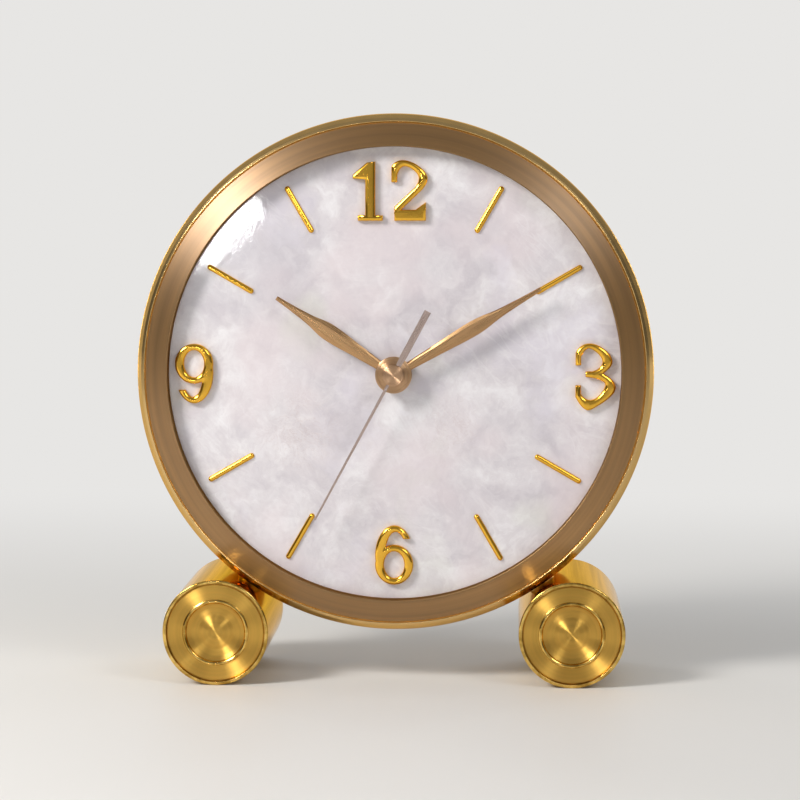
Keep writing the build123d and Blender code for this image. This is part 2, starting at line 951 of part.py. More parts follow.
def make_train_bridge():
    """Bridge behind the stator that carries the rear pivots, on four legs."""
    back = bridge_depth + plate_thickness
    bridge = slab(plate_left, plate_right, plate_bottom, plate_top, bridge_depth, back)
    for place in plate_post_places():
        bridge += Pos(place[0], 0, place[1]) * disc(
            post_radius, middle_plate_depth + plate_thickness, bridge_depth
        )
    holes = [
        ((0, 0), arbor_radius + running_gap),
        (third_place, pivot_radius + running_gap),
        (fifth_place, pivot_radius + running_gap),
        (rotor_place, pivot_radius + running_gap),
        (knob_place, knob_shaft_radius + running_gap),
    ]
    for place, radius in holes:
        bridge -= Pos(place[0], 0, place[1]) * disc(radius, bridge_depth, back)
    return at_clock(bridge)


# ---- going train ----
def arbor(radius, front, back):
    """A plain shaft between two depths."""
    return disc(radius, front, back)


def make_rotor():
    """Magnet disc with the first pinion."""
    back = bridge_depth + plate_thickness
    body = gear(
        rotor_teeth,
        pitch_radius(rotor_teeth, fifth_teeth, rotor_distance),
        mesh_phase(rotor_teeth, fifth_teeth, 0, fifth_angle),
        fifth_layer,
    )
    body += disc(magnet_radius, stator_depth, stator_depth + stator_thickness)
    body += arbor(pivot_radius, middle_plate_depth, back)
    return at_place(body, rotor_place)


def make_fifth_wheel():
    """Wheel driven by the rotor, with the pinion that drives the seconds wheel."""
    back = bridge_depth + plate_thickness
    wheel = gear(fifth_teeth, pitch_radius(fifth_teeth, rotor_teeth, rotor_distance), 0, fifth_layer)
    wheel += gear(
        pinion_teeth,
        pitch_radius(pinion_teeth, fourth_teeth, fifth_distance),
        mesh_phase(pinion_teeth, fourth_teeth, 0, fifth_angle),
        (fourth_layer[0], fifth_layer[0]),
    )
    wheel += arbor(pivot_radius, middle_plate_depth, back)
    return at_place(wheel, fifth_place)


def make_fourth_wheel():
    """Seconds wheel: its arbor runs through the cannon pinion and carries the sweep hand."""
    back = bridge_depth + plate_thickness
    wheel = gear(fourth_teeth, pitch_radius(fourth_teeth, pinion_teeth, fifth_distance), 0, fourth_layer)
    wheel += gear(
        pinion_teeth,
        pitch_radius(pinion_teeth, third_teeth, second_distance),
        mesh_phase(pinion_teeth, third_teeth, 0, third_angle + 180),
        (third_layer[0], fourth_layer[0]),
    )
    wheel += arbor(arbor_radius, cap_front + 2 * cap_dome, back)
    return at_clock(wheel)


def make_third_wheel():
    """Wheel driven by the seconds pinion, with the pinion that drives the centre wheel."""
    back = bridge_depth + plate_thickness
    wheel = gear(third_teeth, pitch_radius(third_teeth, pinion_teeth, second_distance), 0, third_layer)
    wheel += gear(
        pinion_teeth,
        pitch_radius(pinion_teeth, centre_teeth, second_distance),
        mesh_phase(pinion_teeth, centre_teeth, 0, third_angle),
        (centre_layer[0], third_layer[0]),
    )
    wheel += arbor(pivot_radius, floor_depth, back)
    return at_place(wheel, third_place)


def make_centre_wheel():
    """Wheel that turns once an hour and grips the tail of the cannon pinion."""
    return at_clock(
        gear(
            centre_teeth,
            pitch_radius(centre_teeth, pinion_teeth, second_distance),
            0,
            centre_layer,
            tail_radius + friction_gap,
        )
    )


# ---- motion work ----
def make_cannon_pinion():
    """Tube that carries the minute hand, with its pinion and the tail in the centre wheel."""
    pinion = gear(
        cannon_teeth, pitch_radius(cannon_teeth, minute_teeth, motion_distance), 0, motion_layer
    )
    pinion += disc(cannon_radius, minute_boss_front - hand_gap / 2, motion_layer[0])
    pinion += disc(tail_radius, motion_layer[1], centre_layer[1])
    pinion -= disc(cannon_bore, minute_boss_front - hand_gap / 2, centre_layer[1])
    return at_clock(pinion)


def minute_wheel_phase():
    """Phase of the minute wheel in mesh with the cannon pinion."""
    return mesh_phase(minute_teeth, cannon_teeth, 0, minute_wheel_angle)


def make_minute_wheel():
    """Minute wheel and its pinion on a post of the front case."""
    wheel = gear(
        minute_teeth,
        pitch_radius(minute_teeth, cannon_teeth, motion_distance),
        minute_wheel_phase(),
        motion_layer,
    )
    wheel += gear(
        minute_pinion_teeth,
        pitch_radius(minute_pinion_teeth, hour_teeth, motion_distance),
        mesh_phase(minute_pinion_teeth, hour_teeth, 0, minute_wheel_angle),
        (hour_layer[0], motion_layer[0]),
    )
    wheel -= disc(pivot_radius + running_gap, hour_layer[0], motion_layer[1])
    return at_place(wheel, minute_place)


def make_hour_wheel():
    """Hour wheel with the pipe that carries the hour hand."""
    wheel = gear(hour_teeth, pitch_radius(hour_teeth, minute_pinion_teeth, motion_distance), 0, hour_layer)
    wheel += disc(pipe_radius, hour_boss_front, hour_layer[0])
    wheel -= disc(pipe_bore, hour_boss_front, hour_layer[1])
    return at_clock(wheel)


def make_setting_knob():
    """Knob, shaft and pinion that set the hands from behind."""
    knob_front = case_back + layer_gap
    knob_back = knob_front + knob_thickness
    knob = turned(
        (0, knob_front),
        (knob_radius, knob_front),
        (knob_radius, knob_back - slot_depth),
        (knob_radius - slot_depth, knob_back),
        (0, knob_back),
    )
    for rib in range(knob_ribs):
        place = polar(knob_radius, rib * 360 / knob_ribs)
        knob -= Pos(place[0], 0, place[1]) * disc(knob_rib_radius, knob_front, knob_back)
    knob += disc(knob_shaft_radius, motion_layer[1], knob_front)
    knob += gear(
        cannon_teeth,
        pitch_radius(cannon_teeth, minute_teeth, motion_distance),
        mesh_phase(cannon_teeth, minute_teeth, minute_wheel_phase(), knob_angle),
        motion_layer,
    )
    knob += disc(arbor_radius, floor_depth, motion_layer[0])
    return at_place(knob, knob_place)


# ---- motor and electronics ----
def stator_legs():
    """Left and right limits of the two stator legs."""
    left = rotor_place[0] - stator_span / 2
    return [(left, left + stator_leg), (left + stator_span - stator_leg, left + stator_span)]


def coil_height():
    """Height of the coil's axis above the clock's centre."""
    return rotor_place[1] + stator_rise


def make_stator():
    """Lamination around the rotor magnet, with two legs to the coil."""
    low = rotor_place[1] - stator_bar / 2
    high = rotor_place[1] + stator_bar / 2
    legs = stator_legs()
    depths = (stator_depth, stator_depth + stator_thickness)
    lamination = slab(legs[0][0], legs[1][1], low, high, *depths)
    for left, right in legs:
        lamination += slab(left, right, low, coil_height() + core_height / 2, *depths)
    lamination -= Pos(rotor_place[0], 0, rotor_place[1]) * disc(magnet_radius + magnet_gap, *depths)
    return at_clock(lamination)


def make_coil_core():
    """Soft iron core that bridges the stator's legs in front of them."""
    legs = stator_legs()
    half = core_height / 2
    return at_clock(
        slab(
            legs[0][0],
            legs[1][1],
            coil_height() - half,
            coil_height() + half,
            stator_depth - core_height,
            stator_depth,
        )
    )


def coil_piece(radius, left, right):
    """A short cylinder along X, on the coil's axis, with the core's hole."""
    body = Rot(0, 90, 0) * Cylinder(radius, right - left)
    middle = stator_depth - core_height / 2
    body = Pos((left + right) / 2, middle, coil_height()) * body
    half = core_height / 2
    return body - slab(
        left, right, coil_height() - half, coil_height() + half, middle - half, middle + half
    )


def coil_limits():
    """Left and right end of the coil, just inside the stator's legs."""
    legs = stator_legs()
    return legs[0][1] + layer_gap, legs[1][0] - layer_gap


def make_bobbin():
    """Plastic former: thin sleeve on the core and two end flanges."""
    left, right = coil_limits()
    bobbin = coil_piece(sleeve_radius, left, right)
    bobbin += coil_piece(bobbin_radius, left, left + bobbin_flange)
    bobbin += coil_piece(bobbin_radius, right - bobbin_flange, right)
    return at_clock(bobbin)


def make_winding():
    """Copper winding between the bobbin's flanges."""
    left, right = coil_limits()
    left += bobbin_flange
    right -= bobbin_flange
    winding = Cylinder(coil_radius, right - left) - Cylinder(sleeve_radius + slip, right - left)
    body = Rot(0, 90, 0) * winding
    middle = stator_depth - core_height / 2
    return at_clock(Pos((left + right) / 2, middle, coil_height()) * body)


def board_limits():
    """Left, right, bottom and top of the circuit board."""
    left = -case_half_width + case_wall + board_inset
    top = case_top - case_wall - board_inset
    return left, left + board_width, top - board_height, top


def board_depth():
    """Depth of the circuit board's front face."""
    return floor_depth + layer_thickness + layer_gap


def make_board():
    """Circuit board on ledges of the front case."""
    left, right, bottom, top = board_limits()
    return at_clock(slab(left, right, bottom, top, board_depth(), board_depth() + board_thickness))


def make_crystal():
    """Quartz crystal in its can, lying on the board."""
    left, right, bottom, top = board_limits()
    can = Cylinder(crystal_radius, crystal_length)
    depth = board_depth() + board_thickness + crystal_radius + slip
    return at_clock(Pos((left + right) / 2, depth, bottom + crystal_length) * can)


def make_chip():
    """Domed potting over the clock chip."""
    left, right, bottom, top = board_limits()
    rim = board_depth() + board_thickness
    chip = Rot(0, 0, 180) * turned_dome(chip_radius, -rim, chip_height)
    return at_clock(Pos((left + right) / 2, 0, top - 2 * chip_radius) * chip)


def turned_dome(radius, rim, height):
    """A shallow dome that stands forwards from its rim."""
    outline = [dome(radius, rim, height), Polyline((0, rim - height), (0, rim), (radius, rim))]
    return revolve(make_face(outline), Axis.Y)


def make_contact(side):
    """Folded spring strip between the bay's end wall and the cell."""
    wall = case_half_width - case_wall
    near = battery_length / 2 + slip
    height = battery_axis()[1]
    strip = Polyline(
        (wall, -contact_width / 2),
        (wall, contact_width / 2),
        (near + contact_thickness, contact_width / 2),
        (near, contact_width / 2 - contact_thickness),
        (near, 0),
        (near + contact_thickness, 0),
        (near + contact_thickness, contact_width / 2 - contact_thickness),
        (wall - contact_thickness, contact_width / 2 - contact_thickness),
        (wall - contact_thickness, -contact_width / 2),
        close=True,
    )
    depth = battery_axis()[0]
    contact = upright(make_face(strip), depth - contact_width / 2, depth + contact_width / 2)
    contact = Pos(0, 0, height) * contact
    return at_clock(contact if side > 0 else mirror(contact, Plane.YZ))


def make_battery():
    """One round cell, with the raised contact on its right end."""
    can = Rot(0, 90, 0) * Cylinder(battery_radius, battery_length - battery_nub)
    nub = Rot(0, 90, 0) * Cylinder(battery_nub_radius, battery_nub)
    cell = Pos(-battery_nub / 2, 0, 0) * can
    cell += Pos((battery_length - battery_nub) / 2, 0, 0) * nub
    return at_clock(Pos(0, battery_axis()[0], battery_axis()[1]) * cell)


def battery_axis():
    """Depth and height of the battery's axis."""
    middle = (case_bottom + case_wall + bay_wall_height) / 2
    return floor_depth + battery_radius + running_gap, middle


NODES = {
    "bezel_ring": make_bezel,
    "drum_shell": make_drum,
    "front_flange": make_front_flange,
    "case_pillars": make_pillars,
    "back_cover": make_back_cover,
    "back_cover_screws": make_cover_screws,
    "foot_spacers": make_foot_spacers,
    "foot_screws": make_foot_screws,
    "dial_plate": make_dial_plate,
    "dial_pearl_disc": make_pearl_disc,
    "hour_batons": make_batons,
    "hour_hand": make_hour_hand,
    "minute_hand": make_minute_hand,
    "second_hand": make_second_hand,
    "second_hand_cap": make_second_cap,
    "movement_front_case": make_front_case,
    "movement_back_case": make_back_case,
    "movement_gasket": make_gasket,
    "movement_nut": make_nut,
    "centre_bushing": make_bushing,
    "middle_plate": make_middle_plate,
    "train_bridge": make_train_bridge,
    "rotor": make_rotor,
    "fifth_wheel": make_fifth_wheel,
    "fourth_wheel": make_fourth_wheel,
    "third_wheel": make_third_wheel,
    "centre_wheel": make_centre_wheel,
    "cannon_pinion": make_cannon_pinion,
    "minute_wheel": make_minute_wheel,
    "hour_wheel": make_hour_wheel,
    "setting_knob": make_setting_knob,
    "stator": make_stator,
    "coil_core": make_coil_core,
    "coil_bobbin": make_bobbin,
    "coil_winding": make_winding,
    "circuit_board": make_board,
    "quartz_crystal": make_crystal,
    "clock_chip": make_chip,
    "battery": make_battery,
}

os.makedirs("parts", exist_ok=True)
nodes = {name: make() for name, make in NODES.items()}
nodes.update(make_numerals())
for side_name, side in (("left", -1), ("right", 1)):
    nodes[side_name + "_foot_tube"] = make_foot_tube(side)
    nodes[side_name + "_foot_front_cap"] = make_foot_plug(side, -1)
    nodes[side_name + "_foot_rear_cap"] = make_foot_plug(side, 1)
nodes["battery_contact_plus"] = make_contact(1)
nodes["battery_contact_minus"] = make_contact(-1)
for name, shape in nodes.items():
    export_step(shape, "parts/" + name + ".step")
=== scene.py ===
from math import atan2, cos, hypot, pi, radians, sin, tan

import bmesh
import bpy
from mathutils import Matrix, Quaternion, Vector


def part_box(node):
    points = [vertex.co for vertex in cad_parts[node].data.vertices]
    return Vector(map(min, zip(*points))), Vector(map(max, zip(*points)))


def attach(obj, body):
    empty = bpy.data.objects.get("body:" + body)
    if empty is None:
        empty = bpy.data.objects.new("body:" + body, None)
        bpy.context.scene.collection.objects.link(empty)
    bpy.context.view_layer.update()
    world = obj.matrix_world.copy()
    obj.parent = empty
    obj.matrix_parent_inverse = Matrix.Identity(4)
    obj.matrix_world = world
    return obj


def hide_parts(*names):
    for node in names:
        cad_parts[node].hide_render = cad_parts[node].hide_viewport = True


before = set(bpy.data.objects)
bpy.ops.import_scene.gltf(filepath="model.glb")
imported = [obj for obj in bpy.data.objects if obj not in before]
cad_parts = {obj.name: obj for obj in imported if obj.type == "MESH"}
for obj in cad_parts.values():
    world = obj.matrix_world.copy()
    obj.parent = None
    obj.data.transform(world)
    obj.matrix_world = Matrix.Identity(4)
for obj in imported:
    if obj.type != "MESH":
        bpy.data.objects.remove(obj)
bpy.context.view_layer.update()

# Bezel: one brass ring turned on a lathe. Its sloping face is satin brushed round and round, and
# a fine groove parts it from the polished round outside it. It clamps the dial from the front.
MM = 0.001
bezel_low, bezel_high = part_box("bezel_ring")
clock_centre = ((bezel_low[0] + bezel_high[0]) / 2, 0.0, (bezel_low[2] + bezel_high[2]) / 2)
bezel_radius = (bezel_high[2] - bezel_low[2]) / 2
dial_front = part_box("dial_pearl_disc")[0][1]
lip_front = bezel_low[1]
skirt_back = bezel_high[1]
opening_radius = bezel_radius - 10.2 * MM
groove_radius = bezel_radius - 2.85 * MM
cone_back = lip_front + 4.2 * MM
lip_width = 0.3 * MM
dial_ledge = 2.6 * MM
ledge_depth = 2.4 * MM
skirt_wall = 1.7 * MM


def arc_points(corner, before, after, radius, steps):
    """Points of a round that replaces one corner of a profile."""
    to_before = (Vector(before) - Vector(corner)).normalized()
    to_after = (Vector(after) - Vector(corner)).normalized()
    half = to_before.angle(to_after) / 2
    # A round takes a little less than half of the side before it and of the side after it.
    reach = min(radius / tan(half), (Vector(before) - Vector(corner)).length / 2.1,
                (Vector(after) - Vector(corner)).length / 2.1)
    centre = Vector(corner) + (to_before + to_after).normalized() * reach / cos(half)
    start = Vector(corner) + to_before * reach - centre
    end = Vector(corner) + to_after * reach - centre
    turn = start.angle_signed(end)
    first = atan2(start.y, start.x)
    return [(centre.x + start.length * cos(first - turn * k / steps),
             centre.y + start.length * sin(first - turn * k / steps)) for k in range(steps + 1)]


def rounded(*corners, steps=5):
    """A closed profile from (radius, depth, round) corners. A round of 0 keeps the corner sharp."""
    result = []
    for index, (across, depth, size) in enumerate(corners):
        if size:
            before, after = corners[index - 1][:2], corners[(index + 1) % len(corners)][:2]
            result += arc_points((across, depth), before, after, size, steps)
        else:
            result.append((across, depth))
    return result


def finished_piece(work, name, sharp):
    """Puts a worked mesh in the scene, facing outwards, and smooth except where it turns sharply."""
    bmesh.ops.recalc_face_normals(work, faces=work.faces)
    mesh = bpy.data.meshes.new(name)
    work.to_mesh(mesh)
    work.free()
    for polygon in mesh.polygons:
        polygon.use_smooth = True
    mesh.set_sharp_from_angle(angle=radians(sharp))
    piece = bpy.data.objects.new(name, mesh)
    bpy.context.scene.collection.objects.link(piece)
    piece.modifiers.new("true_flats", "WEIGHTED_NORMAL").keep_sharp = True
    return piece


def mesh_piece(name, vertices, faces, sharp=32):
    """A closed piece from lists of points and faces. Points that fall together are welded."""
    weld = 0.0002 * MM
    draft = bpy.data.meshes.new("draft")
    draft.from_pydata(vertices, [], faces)
    work = bmesh.new()
    work.from_mesh(draft)
    bpy.data.meshes.remove(draft)
    bmesh.ops.remove_doubles(work, verts=work.verts, dist=weld)
    return finished_piece(work, name, sharp)


def lathe(name, profile, centre, steps=256, sharp=32):
    """Turns a closed profile of (radius, depth) points about a line that runs from front to back."""
    vertices, rings, faces = [], [], []
    for across, depth in profile:
        if across < 0.0001 * MM:
            rings.append([len(vertices)])
            vertices.append((centre[0], depth, centre[2]))
            continue
        rings.append(list(range(len(vertices), len(vertices) + steps)))
        for k in range(steps):
            angle = 2 * pi * k / steps
            vertices.append((centre[0] + across * cos(angle), depth, centre[2] + across * sin(angle)))
    for first, second in zip(rings, rings[1:] + rings[:1]):
        if len(first) == 1 and len(second) == 1:
            continue
        for k in range(steps):
            n = (k + 1) % steps
            if len(first) == 1:
                faces.append((first[0], second[n], second[k]))
            elif len(second) == 1:
                faces.append((first[k], first[n], second[0]))
            else:
                faces.append((first[k], first[n], second[n], second[k]))
    return mesh_piece(name, vertices, faces, sharp)


def feed(tree, socket, value):
    """Gives a socket a plain value, or a link from another node."""
    if isinstance(value, bpy.types.NodeSocket):
        tree.links.new(value, socket)
    else:
        socket.default_value = value


def add_node(tree, kind, inputs=None, **settings):
    """Adds a node with its settings, and feeds its inputs by name or number."""
    node = tree.nodes.new(kind)
    for key, value in settings.items():
        setattr(node, key, value)
    for key, value in (inputs or {}).items():
        feed(tree, node.inputs[key], value)
    return node


def add_math(tree, operation, first, second=0.0):
    return add_node(tree, "ShaderNodeMath", {0: first, 1: second}, operation=operation).outputs[0]


class Finish:
    """A new material, with short ways to add nodes to it. Lengths in its patterns are in millimetres."""

    def __init__(self, name, color, roughness, metallic=0.0):
        self.material = bpy.data.materials.new(name)
        self.material.use_nodes = True
        self.tree = self.material.node_tree
        self.shader = self.tree.nodes["Principled BSDF"]
        self.set("Base Color", (*color, 1))
        self.set("Roughness", roughness)
        self.set("Metallic", metallic)

    def add(self, kind, inputs=None, **settings):
        return add_node(self.tree, kind, inputs, **settings)

    def set(self, name, value):
        feed(self.tree, self.shader.inputs[name], value)

    def math(self, operation, first, second=0.0):
        return add_math(self.tree, operation, first, second)

    def place(self, centre=(0.0, 0.0, 0.0), turn=(0.0, 0.0, 0.0), stretch=(1.0, 1.0, 1.0)):
        """Where a point is from a centre, in millimetres, turned and stretched."""
        point = self.add("ShaderNodeTexCoord").outputs["Object"]
        moved = self.add("ShaderNodeVectorMath", {0: point, 1: centre}, operation="SUBTRACT").outputs[0]
        turned = self.add("ShaderNodeVectorRotate", {"Vector": moved, "Rotation": turn},
                          rotation_type="EULER_XYZ").outputs[0]
        return self.add("ShaderNodeVectorMath", {0: turned, 1: tuple(s / MM for s in stretch)},
                        operation="MULTIPLY").outputs[0]

    def noise(self, vector, scale, detail=2.0, roughness=0.5, distortion=0.0):
        return self.add("ShaderNodeTexNoise", {"Vector": vector, "Scale": scale, "Detail": detail,
                                               "Roughness": roughness, "Distortion": distortion}).outputs["Fac"]

    def spread(self, value, low, high, start=0.0, end=1.0):
        """Maps a value from one range to another."""
        return self.add("ShaderNodeMapRange", {"Value": value, "From Min": start, "From Max": end,
                                               "To Min": low, "To Max": high}).outputs["Result"]

    def mix(self, factor, first, second):
        """Mixes two colours, each of them plain or from another node."""
        inputs = {0: factor}
        for key, value in ((6, first), (7, second)):
            inputs[key] = value if isinstance(value, bpy.types.NodeSocket) else (*value, 1)
        return self.add("ShaderNodeMix", inputs, data_type="RGBA").outputs[2]

    def bump(self, height, strength, distance, into="Normal"):
        node = self.add("ShaderNodeBump", {"Height": height, "Strength": strength, "Distance": distance * MM})
        self.set(into, node.outputs["Normal"])

    def rings(self, centre, along, across):
        """A pattern space that runs round a centre: long along the ring and fine across it."""
        parts = self.add("ShaderNodeSeparateXYZ", {0: self.place(centre)}).outputs
        radius = self.math("SQRT", self.math("ADD", self.math("POWER", parts[0], 2.0),
                                             self.math("POWER", parts[2], 2.0)))
        safe = self.math("MAXIMUM", radius, 0.01)
        return self.add("ShaderNodeCombineXYZ", {
            0: self.math("MULTIPLY", self.math("DIVIDE", parts[0], safe), along),
            1: self.math("MULTIPLY", self.math("DIVIDE", parts[2], safe), along),
            2: self.math("MULTIPLY", radius, across)}).outputs[0]


def shade(color, factor):
    return tuple(min(1, part * factor) for part in color)


def bare_metal(name, color, roughness):
    """Bare metal that keeps its own colour in reflections at a low angle."""
    finish = Finish(name, color, roughness, 1.0)
    finish.set("Specular Tint", (*shade(color, 1.35), 1))
    return finish


def turned_metal(name, color, roughness, centre, anisotropy=1.0, across=2.2, along=2.6, uneven=0.1,
                 depth=0.012):
    """Metal with tool or brush marks that run round a centre, uneven in colour and gloss."""
    finish = bare_metal(name, color, roughness)
    fine = finish.noise(finish.rings(centre, along, across), 1.0, 4.0, 0.7)
    coarse = finish.noise(finish.rings(centre, along * 0.35, across * 0.25), 1.0, 2.0)
    cloud = finish.noise(finish.place(), 0.05, 3.0)
    marks = finish.spread(fine, roughness - uneven, roughness + uneven, 0.25, 0.75)
    finish.set("Roughness", finish.math("ADD", marks, finish.spread(cloud, -0.03, 0.03)))
    dark, light = shade(color, 1 - uneven * 1.5), shade(color, 1 + uneven)
    finish.set("Base Color", finish.mix(finish.spread(coarse, 0, 1, 0.3, 0.7), dark, light))
    # The quarter turn spreads each highlight across the marks, as round and round brushing does.
    finish.set("Anisotropic", anisotropy)
    finish.set("Anisotropic Rotation", 0.25)
    finish.set("Tangent", finish.add("ShaderNodeTangent", direction_type="RADIAL", axis="Y").outputs[0])
    finish.bump(fine, 0.35, depth)
    return finish


def polished_metal(name, color, roughness=0.08, wear=0.07, waves=0.01):
    """Polished metal with a faint haze from handling, and waves so that it isn't dead flat."""
    finish = bare_metal(name, color, roughness)
    haze = finish.noise(finish.place(), 0.18, 4.0, 0.65)
    finish.set("Roughness", finish.spread(haze, roughness, roughness + wear, 0.35, 0.75))
    finish.set("Base Color", finish.mix(finish.spread(haze, 0, 1, 0.4, 0.7), color, shade(color, 1.06)))
    if waves:
        finish.bump(finish.noise(finish.place(), 0.3, 1.0), 0.5, waves)
    return finish


satin_bezel = turned_metal("satin_bezel_brass", (0.55, 0.31, 0.115), 0.6, clock_centre, depth=0.08)
satin_bezel.set("Coat Weight", 0.9)
satin_bezel.set("Coat Roughness", 0.3)
bright_bezel = polished_metal("polished_bezel_brass", (0.72, 0.48, 0.20), 0.16)
# Painted shade: the wall of the opening and the edge of its lip are coloured dark brown, to stand for the shade
# at the edge of the dial. They are also rougher than the polish.
wall_painted_shade = polished_metal("bezel_wall_painted_shade", (0.30, 0.185, 0.085), 0.4, 0.1)
bezel = lathe("bezel_turned", rounded(
    (opening_radius, dial_front, 0),
    (opening_radius, lip_front, 0.25 * MM),
    (groove_radius - 0.12 * MM, cone_back - 0.12 * MM, 0.1 * MM),
    (groove_radius + 0.02 * MM, cone_back + 0.22 * MM, 0),
    (groove_radius + 0.2 * MM, cone_back + 0.1 * MM, 0.1 * MM),
    (groove_radius + 0.5 * MM, cone_back - 0.2 * MM, 0.25 * MM),
    (bezel_radius - 1.5 * MM, cone_back + 0.45 * MM, 1.2 * MM),
    (bezel_radius, cone_back + 2.6 * MM, 1.9 * MM),
    (bezel_radius, skirt_back, 0.3 * MM),
    (bezel_radius - skirt_wall, skirt_back, 0),
    (bezel_radius - skirt_wall, dial_front + ledge_depth, 0),
    (opening_radius + dial_ledge, dial_front + ledge_depth, 0),
    (opening_radius + dial_ledge, dial_front, 0), steps=7), clock_centre, steps=512, sharp=40)
for finish in (bright_bezel, satin_bezel, wall_painted_shade):
    bezel.data.materials.append(finish.material)
bright_index, satin_index, painted_shade_index = 0, 1, 2
# Faces are sorted by finish: the wall of the opening takes the painted shade, the sloping face the satin, and
# the rest the polish.
for polygon in bezel.data.polygons:
    across = hypot(polygon.center.x - clock_centre[0], polygon.center.z - clock_centre[2])
    if across < opening_radius + lip_width:
        polygon.material_index = painted_shade_index
    elif polygon.normal.y < -0.5 and across < groove_radius - 0.1 * MM:
        polygon.material_index = satin_index
    else:
        polygon.material_index = bright_index
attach(bezel, "clock_case")
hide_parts("bezel_ring")

# Drum: the brass case wall behind the bezel, rolled and brushed round and round, with a flat ring
# brazed inside its front edge and four turned pillars that carry the back cover.
drum_low, drum_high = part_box("drum_shell")
drum_radius = (drum_high[0] - drum_low[0]) / 2
drum_bore = drum_radius - 1.5 * MM
spigot_radius = bezel_radius - 1.75 * MM
satin_case = polished_metal("satin_case_brass", (0.60, 0.42, 0.19), 0.30, 0.1, waves=0)
hoops = satin_case.noise(satin_case.place(clock_centre, stretch=(0.02, 1.9, 0.02)), 1.0, 4.0, 0.7)
satin_case.bump(hoops, 0.5, 0.015)
drum = lathe("drum_rolled", rounded(
    (drum_bore, drum_low[1], 0),
    (spigot_radius, drum_low[1], 0),
    (spigot_radius, skirt_back, 0),
    (drum_radius, skirt_back, 0.15 * MM),
    (drum_radius, drum_high[1], 0.12 * MM),
    (drum_bore, drum_high[1], 0.1 * MM), steps=4), clock_centre, steps=360)
drum.data.materials.append(satin_case.material)
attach(drum, "clock_case")
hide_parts("drum_shell")


def dress(finish, *names):
    """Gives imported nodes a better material. Their shape stays as it is."""
    for name in names:
        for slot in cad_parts[name].material_slots:
            slot.material = finish.material


raw_brass = polished_metal("raw_inner_brass", (0.58, 0.40, 0.17), 0.30, 0.2, 0.05)
dress(raw_brass, "front_flange", "case_pillars")

# Back cover: a turned brass plate let into the drum, satin brushed in circles, with a rounded edge
# and a round hole for reaching the movement. Four slotted steel screws hold it to the pillars.
satin_cover = turned_metal("satin_cover_brass", (0.60, 0.41, 0.18), 0.5, clock_centre, anisotropy=0.95)


def soften(width, angle, *names):
    """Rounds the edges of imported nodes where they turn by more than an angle, as polishing does."""
    for name in names:
        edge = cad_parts[name].modifiers.new("softened_edges", "BEVEL")
        edge.width = width * MM
        edge.segments = 3
        edge.limit_method = "ANGLE"
        edge.angle_limit = radians(angle)
        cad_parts[name].modifiers.new("true_flats", "WEIGHTED_NORMAL").keep_sharp = True


dress(satin_cover, "back_cover")
soften(0.15, 40, "back_cover")
screw_steel = polished_metal("bright_screw_steel", (0.56, 0.56, 0.55), 0.2, 0.15)
dress(screw_steel, "back_cover_screws", "foot_screws")

# Foot tubes: two short brass tubes that lie from front to back, drawn, bored for their end plugs and polished
# bright along their length. Their colour carries painted reflections in light and dark bands along them.
plug_depth = 6.0 * MM
# Painted reflection: the dark and light lengthwise bands in the colour stand for the room mirrored in the tubes.
# The same noise also gives the bump its faint lengthwise marks.
reflection_band_dark, reflection_band_bright = (0.40, 0.235, 0.045), (0.84, 0.57, 0.16)
foot_brass = polished_metal("polished_foot_brass", (0.78, 0.50, 0.12), 0.08, 0.06, waves=0)
drawn = foot_brass.noise(foot_brass.place(stretch=(1.0, 0.03, 1.0)), 0.24, 3.0, 0.6)
streaks = foot_brass.spread(drawn, 0, 1, 0.38, 0.62)
foot_brass.set("Base Color", foot_brass.mix(streaks, reflection_band_dark, reflection_band_bright))
foot_brass.bump(drawn, 0.5, 0.02)
foot_centres = {}
for side in ("left", "right"):
    tube_low, tube_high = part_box(side + "_foot_tube")
    foot_centres[side] = ((tube_low[0] + tube_high[0]) / 2, 0.0, (tube_low[2] + tube_high[2]) / 2)
    foot_radius = (tube_high[2] - tube_low[2]) / 2
    plug_bore = foot_radius - 1.1 * MM
    inner_bore = foot_radius - 2.6 * MM
    tube = lathe(side + "_foot_drawn_tube", rounded(
        (inner_bore, tube_low[1] + plug_depth, 0),
        (plug_bore, tube_low[1] + plug_depth, 0),
        (plug_bore, tube_low[1], 0.12 * MM),
        (foot_radius, tube_low[1], 0.45 * MM),
        (foot_radius, tube_high[1], 0.45 * MM),
        (plug_bore, tube_high[1], 0.12 * MM),
        (plug_bore, tube_high[1] - plug_depth, 0),
        (inner_bore, tube_high[1] - plug_depth, 0)), foot_centres[side])
    tube.data.materials.append(foot_brass.material)
    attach(tube, "clock_case")
    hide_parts(side + "_foot_tube")

# Foot plugs: turned brass discs pressed into the ends of the tubes. Each has a flat ring, a raised
# bead, and a shallow dish with a low boss in its middle, all left with fine circular tool marks.
plug_radius = foot_radius / MM - 1.15
bead_radius = 9.7
boss_radius = 4.9
